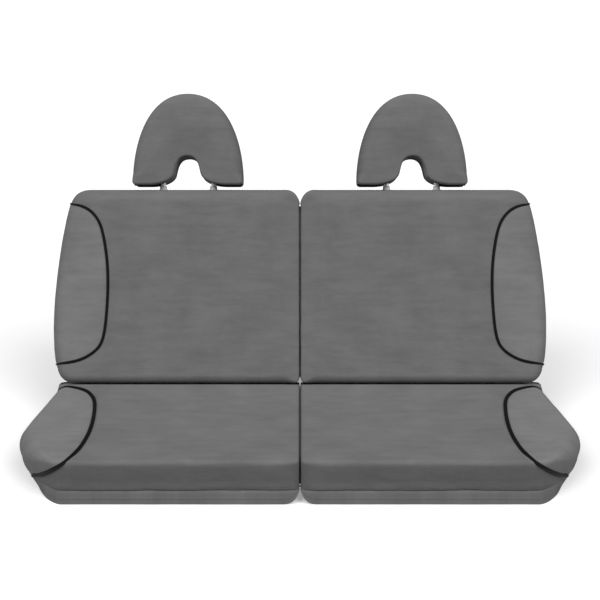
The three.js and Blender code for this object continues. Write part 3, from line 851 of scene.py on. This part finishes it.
def add_floor():
    size = 60
    mesh = bpy.data.meshes.new("floor")
    mesh.from_pydata([(-size, -size, 0), (size, -size, 0), (size, size, 0), (-size, size, 0)],
                     [], [(0, 1, 2, 3)])
    shader = Shader("studio_floor", (0.9, 0.9, 0.9), 1.0, Specular_IOR_Level=0.0)
    shader.set("Emission Color", (1, 1, 1, 1))
    shader.set("Emission Strength", FLOOR_GLOW)
    mesh.materials.append(shader.material)
    floor = bpy.data.objects.new("floor", mesh)
    bpy.context.scene.collection.objects.link(floor)
    floor.visible_diffuse = False


set_camera()
set_world(above=0.16, below=0.05)
for azimuth in (-42, 42):
    add_sun("softbox", elevation=45, azimuth=azimuth, strength=1.67, spread=40)
add_floor()
bpy.context.scene.view_settings.view_transform = "Standard"


# ---- cloth simulation ---------------------------------------------------------------------------
SIM_FRAMES = 22
SOFT_HOLD = 0.32  # how strongly the foam under a panel holds it in place, where 1 is sewn down
EASE_X, EASE_Y = 0.004, 0.020  # how much larger the cloth is cut than the shape under it
MOST_MOVE = 2.5


def settle(face, sewn, seed, place):
    """Lets the panels of a face settle into wrinkles: the cloth is cut a little too large, is held
    where it is sewn and rests softly on its foam everywhere else."""
    start = face.world
    normals = point_normals(start, face.faces)
    tremble = 0.5 * ripple(face.local, 0.03, seed) + 0.25 * ripple(face.local, 0.09, seed + 20)
    move = simulated(start + normals * (tremble * ~sewn)[:, None],
                     place(face.local * [1 + EASE_X, 1 + EASE_Y, 1]), face.faces, sewn) - start
    size = np.linalg.norm(move, axis=1)
    move *= np.minimum(1, MOST_MOVE / np.maximum(size, 1e-6))[:, None]
    face.world = start + move * ~sewn[:, None]


def simulated(start, rest, faces, sewn):
    """The points of a cloth after the simulation. start and rest are in millimetres."""
    obj = make_object("cloth", start, faces, start[:, :2], [CANVAS])
    obj.shape_key_add(name="start")
    pattern = obj.shape_key_add(name="pattern")
    pattern.data.foreach_set("co", (rest * MM).astype(np.float32).ravel())
    group = obj.vertex_groups.new(name="held")
    group.add(np.nonzero(sewn)[0].tolist(), 1.0, "REPLACE")
    group.add(np.nonzero(~sewn)[0].tolist(), SOFT_HOLD, "REPLACE")
    cloth = obj.modifiers.new("cloth", "CLOTH")
    cloth.point_cache.frame_end = SIM_FRAMES
    settings = cloth.settings
    settings.quality = 6
    settings.mass = 0.3
    settings.tension_stiffness = settings.compression_stiffness = 25
    settings.shear_stiffness = 10
    settings.bending_stiffness = 0.15
    settings.vertex_group_mass = "held"
    settings.pin_stiffness = 1.0
    settings.rest_shape_key = pattern
    settings.effector_weights.gravity = 0.2
    scene = bpy.context.scene
    for number in range(1, SIM_FRAMES + 1):
        scene.frame_set(number)
    final = obj.evaluated_get(bpy.context.evaluated_depsgraph_get()).data
    points = np.empty(len(start) * 3, np.float32)
    final.vertices.foreach_get("co", points)
    scene.frame_set(1)
    bpy.data.objects.remove(obj)
    return points.reshape(-1, 3).astype(float) / MM


def sewn_points(face, also):
    """Points on the border or on a seam, and those that another part keeps flat."""
    sewn = np.zeros(len(face.local), bool)
    sewn[border_edges(face.faces).ravel()] = True
    for line in face.seams:
        gap = nearest(face.flat, face.flat[line], closed=False)[0]
        sewn |= gap < 2
    return sewn | also


# ---- shape of the covers' skins ----------------------------------------------------------------
def crown(face, height, reach):
    """Raises the middle of a face, level with its edge at the rim."""
    edge, _, _ = nearest(face.local[:, :2], face.rim.at)
    on_face = face.local[:, 2] > -face.rim.roll.max() * 1.01
    return np.where(on_face, height * smooth(edge, 0, reach), 0)


def groove(face):
    """The piping's seam draws the cloth in."""
    gap, _, _ = nearest(face.flat, face.flat[face.seams[0]], closed=False)
    return -GROOVE_DEPTH * np.exp(-(gap / GROOVE_WIDTH) ** 2)


def parted(face, keep):
    """A panel's own mesh: its points on a seam draw back from it."""
    points, faces, flat, used = trimmed(face.world, face.faces, face.flat, keep)
    middle = np.zeros_like(points)
    weight = np.zeros(len(points))
    for k in range(3):
        np.add.at(middle, faces[:, k], points[faces].mean(1))
        np.add.at(weight, faces[:, k], 1)
    pull = unit(middle / weight[:, None] - points)
    on_seam = np.isin(used, np.concatenate(face.seams))
    return points + np.where(on_seam[:, None], pull * SEAM_GAP, 0), faces, flat


def seam_line(face):
    """The piping seam's points, lifted off the cloth, and the cloth's normals there."""
    ids = face.seams[0]
    line = face.world[ids]
    normal = point_normals(face.world, face.faces)[ids]
    for _ in range(4):
        line[1:-1] = (line[:-2] + 2 * line[1:-1] + line[2:]) / 4
        normal[1:-1] = (normal[:-2] + 2 * normal[1:-1] + normal[2:]) / 4
    normal = unit(normal)
    return line + normal * CORD_LIFT, normal


def seam_dip(w, low, high, dip=1.3, reach=4.0):
    """How far a strip is drawn in beside the seams along its two edges."""
    near = np.minimum(w - low, high - w)
    return dip * np.exp(-(near / reach) ** 2)


def lathe(profile, sides=40):
    """A body of revolution about the second axis, from (radius, height) pairs of a closed profile."""
    profile = np.array(profile, float)
    angles = np.linspace(0, 2 * math.pi, sides, endpoint=False)
    points = np.vstack([np.column_stack([profile[:, 0] * math.cos(a), profile[:, 1],
                                         -profile[:, 0] * math.sin(a)]) for a in angles])
    return points, ring_faces(sides, len(profile), closed=True), points[:, :2].copy()


def ribbon(path, width, thick):
    """A flat strap with soft edges along a path, lying across X."""
    across = np.array([1.0, 0.0, 0.0])
    up = np.cross(unit(np.gradient(path, axis=0)), across)
    angles = np.linspace(0, 2 * math.pi, 16, endpoint=False)
    c, s = np.cos(angles), np.sin(angles)
    wide = width / 2 * np.sign(c) * abs(c) ** 0.35
    high = thick / 2 * np.sign(s) * abs(s) ** 0.7
    rings = path[:, None] + wide[None, :, None] * across + high[None, :, None] * up[:, None]
    count, sides = len(path), len(angles)
    faces = ring_faces(count, sides)
    faces.append(tuple(range(sides))[::-1])
    faces.append(tuple((count - 1) * sides + k for k in range(sides)))
    flat = np.column_stack([np.repeat(run_along(path), sides), np.tile(wide, count)])
    return outward((rings.reshape(-1, 3), faces, flat))


def outward(part):
    """The part with all faces facing outwards."""
    points, faces, flat = part
    volume = 0.0
    for face in faces:
        a = points[face[0]]
        for k in range(1, len(face) - 1):
            volume += a @ np.cross(points[face[k]], points[face[k + 1]])
    return part if volume > 0 else (points, [tuple(f)[::-1] for f in faces], flat)


def placed(part, place, at):
    """A small part moved to a point of a cover's frame and placed with it."""
    points, faces, flat = part
    return outward((place(points + np.array(at, float)), faces, flat))


# ---- a cover and its pieces ---------------------------------------------------------------------
class Cover:
    """One body's cover on one side of the bench: it names, mirrors and places the pieces it is given."""

    def __init__(self, side, sign, body, part, node, place):
        self.sign, self.body, self.place = sign, body, place
        self.part, self.node = f"{side}_{part}", f"{side}_{node}"

    def join(self, obj, name, material, stands_in=True):
        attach(obj, self.body)
        if stands_in:
            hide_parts(f"{self.node}_{name}")

    def panel(self, name, points, faces, flat, material=CANVAS, on_foam=False):
        """A panel of canvas with its lining: the sheet is given its thickness towards the inside."""
        points, faces = mirrored(points, faces, self.sign)
        lower = points - point_normals(points, faces) * CLOTH
        solid, all_faces, rim_faces = thickened(points, faces, lower)
        indices = [0] * len(faces) + [1] * len(faces) + [0] * rim_faces
        obj = make_object(f"{self.part}_{name}", solid, all_faces, np.vstack([flat, flat]),
                          [material, LINING], indices)
        self.join(obj, name, material)
        size, area = sheet_size(points, faces, flat)
        return obj

    def front(self, face, panels):
        """The panels of a front face: (name, which triangles, material) for each."""
        for name, keep, material in panels:
            self.panel(name, *parted(face, keep), material, on_foam=True)

    def strip(self, name, rim, wanted, rows):
        """A gusset or hem: a strip along a rim, with its own thickness."""
        local, faces, flat = band(rim, wanted, rows)
        return self.panel(name, self.place(local), faces, flat)

    def plain(self, name, part, material, sharp=50, stands_in=True):
        """A piece that isn't a sheet."""
        points, faces = mirrored(*part[:2], self.sign)
        obj = make_object(f"{self.part}_{name}", points, faces, part[2], [material], sharp=sharp)
        self.join(obj, name, material, stands_in)

    def stitch_row(self, name, rim, wanted, points, lean=0.0):
        """A row of stitches that runs along a rim, on the side that faces outwards."""
        away = np.column_stack([-rim.inward, np.full(len(rim.at), lean)])
        line, out = (band(rim, wanted, lambda i: rows[i][None])[0] for rows in (points, away))
        normals = unit(self.place(out) - self.place(np.zeros_like(out)))
        self.plain(f"{name}_stitches", stitches(self.place(line), normals), THREAD, stands_in=False)

    def piping(self, face, thick, first=0):
        """The covered cord along the face's seam, thinner at both ends."""
        points = spaced(np.hstack(seam_line(face))[first:], 3.5)
        share = np.linspace(0, 1, len(points))
        taper = np.minimum(smooth(share, 0, 0.12), smooth(1 - share, 0, 0.12))
        self.plain("piping", tube_mesh(points[:, :3], thick * (0.7 + 0.3 * taper), sides=14), PIPING)

    def foam(self, path):
        """The sewn-in foam sheet under a face, with soft edges and shallow quilted dents."""
        rim = Rim(path, 12, lambda at: np.full(len(at), 2.2))
        face = Face(rim, 12)
        local = face.local
        wave = 2 * math.pi / QUILT_PITCH
        dents = np.cos(local[:, 0] * wave) * np.cos(local[:, 1] * wave)
        local[:, 2] += FOAM_TOP - 0.3 + 0.3 * dents
        points, faces = mirrored(self.place(local), face.faces, self.sign)
        normals = point_normals(points, faces)
        edge = nearest(local[:, :2], rim.at)[0]
        lower = np.where((edge < 3)[:, None], points - normals * FOAM_THICK * 0.6,
                         points - normals.mean(0) * FOAM_THICK)
        solid, all_faces, _ = thickened(points, faces, lower)
        obj = make_object(f"{self.part}_foam", solid, all_faces, np.vstack([face.flat, face.flat]),
                          [LINING])
        self.join(obj, "foam", LINING)


# ---- base covers -------------------------------------------------------------------------------
def base_wall(rim):
    """A function that gives the base wall's points, leaning in by a (nose, side) amount plus more,
    at a height above the floor."""
    x, y = rim.at[:, 0], rim.at[:, 1]
    share = smooth(x, 16, 60)
    rear = smooth(-y, -105, -20)

    def at_height(lean, z, more=0.0):
        inset = lean[0] + (lean[1] - lean[0]) * side_share(y) + more
        place = rim.at + rim.inward * (inset * share * rear)[:, None]
        push = np.where(y < BASE_FRONT + 20, inset * (1 - share), 0)
        height = np.broadcast_to(np.asarray(z, float), x.shape) - BASE_TOP
        return np.column_stack([place[:, 0], place[:, 1] + push, height])

    return at_height


def reaching(wanted):
    """A run of rim points with the next point at each end, where the neighbouring piece starts."""
    return wanted | np.roll(wanted, 1) | np.roll(wanted, -1)


def hem_bottom(rim):
    """Height of the hem's lower edge: it curves up at the inner front corner."""
    across = np.clip(GAP + HEM_NOTCH - rim.at[:, 0], 0, HEM_NOTCH - 0.1)
    rise = HEM_NOTCH - np.sqrt(HEM_NOTCH ** 2 - across ** 2)
    return np.where(rim.at[:, 1] < BASE_FRONT + 70, rise, 0)


def build_base(side, sign):
    cover = Cover(side, sign, "seat_base", "seat", "base", on_base)
    rim = base_rim()
    at_height = base_wall(rim)
    x, y = rim.at[:, 0], rim.at[:, 1]
    behind = y > BASE_REAR - REAR_BAND
    middle = (x < MIDDLE_BAND) & (y > BASE_FRONT + 40)
    seed = 3 + sign
    level = np.column_stack([rim.at, np.zeros(len(x))])
    wave = ripple(level, 0.016, seed) + 0.6 * ripple(level, 0.05, seed + 5)
    build_base_face(cover, rim, at_height, wave, ~(behind | middle), seed)
    build_base_hem(cover, rim, at_height, wave)
    top = np.minimum(BASE_TOP - rim.roll, BASE_TOP - np.maximum(y, 0) * SIN / COS)
    build_base_inner_gusset(cover, rim, top, reaching(middle & ~behind))

    def rear_rows(i):
        z = top[i] * (1 - np.linspace(0, 1, 14)) - BASE_TOP
        dip = seam_dip(z, -BASE_TOP - 20, z[0], 1.0, 3)
        return np.column_stack([rim.at[i] + rim.inward[i] * dip[:, None], z])

    cover.strip("rear_panel", rim, behind, rear_rows)
    build_base_inside(cover)


def build_base_face(cover, rim, at_height, wave, has_wall, seed):
    """The top, its rolled edge and its wall, cut into panels along the piping and the crease."""
    wall_bottom = BASE_HEM - BASE_TOP + rim.roll

    def wall(t):
        lip = smooth(t, 0.6, 1)
        points = at_height(np.array(UNDER) * t ** WALL_CURVE, 0, -(1.6 + 0.9 * wave) * lip)
        points[:, 2] = -rim.roll + (wall_bottom - 1.2 * wave * lip) * t
        return points

    tail = spline(BASE_PIPING_TAIL, RIM_STEP)[1:] - np.array([0, 0, BASE_TOP])
    across = np.arange(GAP + 3, 634, RIM_STEP)
    crease = np.column_stack([across, np.zeros(len(across))])
    face = Face(rim, FACE_STEP, wall, WALL_HEIGHT, has_wall, [spline(BASE_PIPING, RIM_STEP), crease],
                tails=[tail])
    local = face.local
    local[:, 2] += crown(face, 8, 120) * smooth(-local[:, 1], 0, 120)
    local[:, 2] += groove(face)
    local[:, 2] = np.minimum(local[:, 2], np.minimum(0, -local[:, 1] * SIN / COS))
    face.world = on_base(local)
    settle(face, sewn_points(face, local[:, 1] > -12), seed, on_base)
    bolster = face.side_of(0)
    rear = local[face.faces].mean(1)[:, 1] > 0
    cover.front(face, [("top_panel", ~rear & ~bolster, CANVAS),
                       ("bolster_panel", ~rear & bolster, BOLSTER), ("tuck_panel", rear, CANVAS)])
    over_side = int(np.argmax(local[face.seams[0], 2] > -14))
    cover.piping(face, BASE_CORD, over_side)


def build_base_hem(cover, rim, at_height, wave):
    """The hem band in two pieces, and the stitches along its seam and along its lower edge."""
    x, y = rim.at[:, 0], rim.at[:, 1]
    low = hem_bottom(rim)
    under, flare = np.array(UNDER), np.array(FLARE)
    rows = []
    for t in (0, 0.06, 0.16, 0.3, 0.45, 0.6, 0.75, 0.87, 0.94, 1.0):
        tucked = 3.4 * (1 - smooth(t, 0, 0.2))
        fold = 0.25 * smooth(t, 0.55, 0.72)
        height = low + (BASE_HEM + 0.5 - low) * (1 - t)
        rows.append(at_height(under * (1 - t) + flare * t, height, tucked - fold + 0.5 * wave * t))
    rows = np.stack(rows, 1)
    front = (y < HEM_ENDS_AT) & ~((x < MIDDLE_BAND) & (y > BASE_FRONT + 35))
    outer = reaching((y >= HEM_ENDS_AT) & (y < BASE_REAR - REAR_BAND) & (x > 300))
    cover.strip("front_hem", rim, front, lambda i: rows[i])
    cover.strip("side_hem", rim, outer, lambda i: rows[i])
    above_edge = flare + (under - flare) * HEM_STITCH / BASE_HEM
    cover.stitch_row("hem", rim, (front | outer) & (low < 20),
                     at_height(above_edge, low + HEM_STITCH, -0.9))
    above_seam = under * (1 - SEAM_STITCH / WALL_HEIGHT) ** WALL_CURVE
    cover.stitch_row("seam", rim, (front | outer) & (x > 20),
                     at_height(above_seam, BASE_HEM + SEAM_STITCH, -1.6), -0.7)


def build_base_inner_gusset(cover, rim, top, wanted):
    """The strip along the middle of the bench: it bulges until it meets the other cover's."""
    def rows(i):
        x, y = rim.at[i]
        t = np.linspace(0, 1, 9)
        meet = smooth(y, BASE_FRONT + 40, BASE_FRONT + 60) * smooth(-y, -90, -60)
        z = top[i] + (BASE_HEM - 10 * meet - top[i]) * t - BASE_TOP
        dip = seam_dip(z, z[-1] - 8, z[0], 0.8, 3) * (1 - meet)
        belly = MEETING_BULGE * meet * smooth(t, 0, 0.2)
        return np.column_stack([x + dip - belly, np.full(9, y), z])

    cover.strip("inner_gusset", rim, wanted, rows)


def build_base_inside(cover):
    """The foam under the top, and the elastic straps under the cushion with their adjusters."""
    front = BASE_FRONT + 50
    cover.foam(trace((16, -18), [(16, front)], [(520, front)],
                     [(580, front), (628, -330), (632, -255)], [(590, -18)]))
    glide_y, strap_z = -230, 20.8 - BASE_TOP
    y = np.linspace(BASE_FRONT + UNDER[0] + 1.6, BASE_REAR - 3.6, 90)
    sag = -2.2 * arch(y) * (1 - np.exp(-((y - glide_y) / 30) ** 2))
    for name, x in (("inner", 150), ("outer", 460)):
        path = on_base(np.column_stack([np.full(len(y), x), y, sag + strap_z]))
        cover.plain(f"strap_{name}", ribbon(path, STRAP_WIDTH, STRAP_THICK), WEBBING)
        cover.plain(f"glide_{name}", placed(tri_glide(), on_base, (x, glide_y, strap_z)), NYLON)


def tri_glide():
    """A strap adjuster: a rounded frame that passes under the strap at its ends, and a bar over it."""
    half_x, half_y, corner = 15.5, 11, 4
    loop = []
    for cx, cy, start in ((1, 1, 0), (-1, 1, 90), (-1, -1, 180), (1, -1, 270)):
        for a in np.radians(np.arange(start, start + 91, 15)):
            loop.append((cx * (half_x - corner) + corner * math.cos(a),
                         cy * (half_y - corner) + corner * math.sin(a)))
    loop = spaced(loop, 1.6, closed=True)
    under = -2.6 * smooth(abs(loop[:, 1]), 5, 10)
    frame_part = tube_mesh(np.column_stack([loop, under]), 1.9, closed=True, squeeze=0.8)
    x = np.linspace(-half_x, half_x, 24)
    over = 2.7 * smooth(half_x - abs(x), 0, 5)
    bar = tube_mesh(np.column_stack([x, np.zeros(24), over]), 1.7, squeeze=0.8)
    return joined([outward(frame_part), outward(bar)])


# ---- backrest covers ---------------------------------------------------------------------------
def rear_place(place, depth):
    """Places points drawn outwards from a rear face that lies at that depth."""
    return lambda p: place(np.column_stack([p[:, 0], p[:, 1], -(depth + p[:, 2])]))


def cover_face(rim, spacing, depth, seams=()):
    """A face whose roll and wall together reach the same depth all round."""
    has_wall = rim.roll < 0.8 * depth

    def wall(t):
        reach = rim.roll + (depth - rim.roll) * t
        inset = 0.8 * smooth(t, 0.7, 1)
        return np.column_stack([rim.at + rim.inward * inset, -reach])

    return Face(rim, spacing, wall, depth - rim.roll.min(), has_wall, seams, depth)


def gusset_rows(rim, bulge, seams, steps, ease=0.0):
    """Rows for a gusset between the seams at two depths, which bulges out at each rim point."""
    w = np.linspace(seams[0] + 0.3, seams[1] - 0.3, steps)
    middle = arch(w)
    drawn_in = seam_dip(w, w[0], w[-1]) * (1 - ease * middle)

    def row(i):
        out = bulge[i] * middle - drawn_in
        return np.column_stack([rim.at[i] - rim.inward[i] * out[:, None], -w])

    return row


def gusset_stitches(cover, rim, wanted, seams, beside):
    """A row of stitches beside each of a gusset's two seams."""
    for name, w in (("front", seams[0] + beside), ("rear", seams[1] - beside)):
        points = np.column_stack([rim.at - rim.inward * 0.3, np.full(len(rim.at), -w)])
        cover.stitch_row(name, rim, wanted, points)


def build_backrest(side, sign):
    cover = Cover(side, sign, f"backrest_{side}", "backrest", "back", on_back)
    rim = back_rim(BACK_SEAM_W, BACK_SMALL_ROLL)
    face = cover_face(rim, FACE_STEP, BACK_SEAM_W, [spline(BACK_PIPING, RIM_STEP)])
    local = face.local
    local[:, 2] += crown(face, 4, 160)
    local[:, 2] += groove(face)
    face.world = on_back(local)
    low_edge = (local[:, 1] < 20) & (local[:, 2] < -1)
    settle(face, sewn_points(face, low_edge), 7 + sign, on_back)
    bolster = face.side_of(0)
    cover.front(face, [("front_panel", ~bolster, CANVAS), ("bolster_panel", bolster, BOLSTER)])
    cover.piping(face, BACK_CORD)
    build_backrest_gussets(cover, rim)

    rear = cover_face(back_rim(BACK_REAR_ROLL, BACK_SMALL_ROLL, 10), 11, BACK_DEPTH - BACK_REAR_W)
    rear.local[:, 2] += crown(rear, 2, 120)
    points = rear_place(on_back, BACK_DEPTH)(rear.local)
    cover.panel("rear_panel", points, rear.faces[:, ::-1], rear.flat)
    build_backrest_inside(cover)


def build_backrest_gussets(cover, rim):
    """The strips round the backrest, with their stitches and the holes for the post guides."""
    x, v = rim.at[:, 0], rim.at[:, 1]
    inner = (x < MIDDLE_BAND) & (v < BACK_HEIGHT - BACK_CORNER - 5)
    edge = ~inner & ~((v < 1.5) & (x < 592))
    seams = (BACK_SEAM_W, BACK_REAR_W)
    bulges = {"edge": np.full(len(x), 1.6), "inner": MEETING_BULGE * smooth(v, 4, 14)}
    strips = {}
    for name, wanted in (("edge", edge), ("inner", inner)):
        strips[name] = cover.strip(f"{name}_gusset", rim, wanted,
                                   gusset_rows(rim, bulges[name], seams, 15, ease=0.4))
    gusset_stitches(cover, rim, edge, seams, 6)
    cut_post_holes(strips["edge"], cover.sign)


def at_posts():
    """(name, place in the backrest's frame) of each post of the headrest."""
    for name, offset in (("inner", -POST_SPREAD), ("outer", POST_SPREAD)):
        yield name, (HEAD_X + offset, BACK_HEIGHT, -POST_W)


def cut_post_holes(gusset, sign):
    """Round holes for the post guides through the top of the gusset."""
    reach = 30
    drill = lathe([(0.01, -reach), (HOLE_RADIUS, -reach), (HOLE_RADIUS, reach), (0.01, reach)], 32)
    points, faces, flat = joined([placed(drill, on_back, at) for _, at in at_posts()])
    cutter = make_object("cutter", *mirrored(points, faces, sign), flat, [CANVAS])
    hole = gusset.modifiers.new("holes", "BOOLEAN")
    hole.object = cutter
    hole.solver = "EXACT"
    apply_modifiers(gusset)
    bpy.data.objects.remove(cutter)


def apply_modifiers(obj):
    graph = bpy.context.evaluated_depsgraph_get()
    final = bpy.data.meshes.new_from_object(obj.evaluated_get(graph))
    obj.modifiers.clear()
    old = obj.data
    obj.data = final
    bpy.data.meshes.remove(old)


def build_backrest_inside(cover):
    """The foam under the front, the strap across the open underside and the post guides."""
    cover.foam(trace((16, 44), [(590, 44)], [(604, 90), (604, 145)],
                     [(604, 240), (582, 390), (560, 458)], [(16, 458)]))
    w = np.linspace(17, BACK_DEPTH - 4.4, 24)
    path = on_back(np.column_stack([np.full(24, 300), 16.8 + 1.2 * arch(w), -w]))
    cover.plain("bottom_strap", ribbon(path, STRAP_WIDTH, STRAP_THICK), WEBBING)
    for name, at in at_posts():
        cover.plain(f"guide_{name}", placed(lathe(GUIDE_PROFILE), on_back, at), GREY_NYLON, sharp=35)


# ---- headrest covers ---------------------------------------------------------------------------
def build_headrest(side, sign):
    cover = Cover(side, sign, f"headrest_{side}", "headrest", "head", on_head)
    build_headrest_panel(cover, "front_panel", HEAD_SEAM_W - HEAD_FRONT, HEAD_FRONT, 5)
    rim = build_headrest_panel(cover, "rear_panel", HEAD_BACK - HEAD_REAR_W, HEAD_BACK, 3)
    x, v = rim.at[:, 0], rim.at[:, 1]
    notch = (abs(x) < 62) & (v < 605)
    arched = ~notch & (v > HEAD_LOW + 2.2)
    seams = (HEAD_SEAM_W, HEAD_REAR_W)
    for name, wanted, bulge in (("arch", arched, 1.6), ("notch", notch, -1.0)):
        rows = gusset_rows(rim, np.full(len(x), bulge), seams, 13)
        cover.strip(f"{name}_gusset", rim, wanted, rows)
    gusset_stitches(cover, rim, arched, seams, 5)
    build_headrest_inside(cover)


def build_headrest_panel(cover, name, depth, face_at, height):
    """The front or the rear of the headrest, whose flat face lies at that depth."""
    rim = head_rim(depth)
    face = cover_face(rim, 5, depth)
    face.local[:, 2] += crown(face, height, 80)
    if name == "rear_panel":
        points, faces = rear_place(on_head, face_at)(face.local), face.faces[:, ::-1]
    else:
        points, faces = on_head(face.local - np.array([0, 0, face_at])), face.faces
    cover.panel(name, points, faces, face.flat)
    return rim


def build_headrest_inside(cover):
    """The stay with the notches of its posts, and the closures under the two lobes."""
    spread, low, high, bend = POST_SPREAD, 400, 660, 26
    line = spaced(trace((-spread, low), [(-spread, high - bend)],
                        [(-spread, high), (bend - spread, high)], [(spread - bend, high)],
                        [(spread, high), (spread, high - bend)], [(spread, low)]), 1.5)
    radius = np.full(len(line), float(POST_RADIUS))
    for notch in (446, 466, 486):
        radius -= 1.1 * np.exp(-((line[:, 1] - notch) / 1.6) ** 4)
    local = np.column_stack([line, np.full(len(line), -POST_W)])
    cover.plain("stay", outward(tube_mesh(on_head(local), radius, sides=24)), STEEL)
    w = np.linspace(HEAD_FRONT + 6.4, HEAD_BACK - 6.4, 22)
    for name, x in (("inner", -113), ("outer", 113)):
        path = np.column_stack([np.full(22, x), HEAD_LOW + 9.8 - 0.9 * arch(w), -w])
        loop_path = path[6:17] - np.array([0, 1.0, 0])
        tab = joined([ribbon(on_head(path), 25, 0.9), ribbon(on_head(loop_path), 24, 1.0)])
        cover.plain(f"closure_{name}", tab, WEBBING)


for side_name, side_sign in SIDES:
    build_base(side_name, side_sign)
    build_backrest(side_name, side_sign)
    build_headrest(side_name, side_sign)
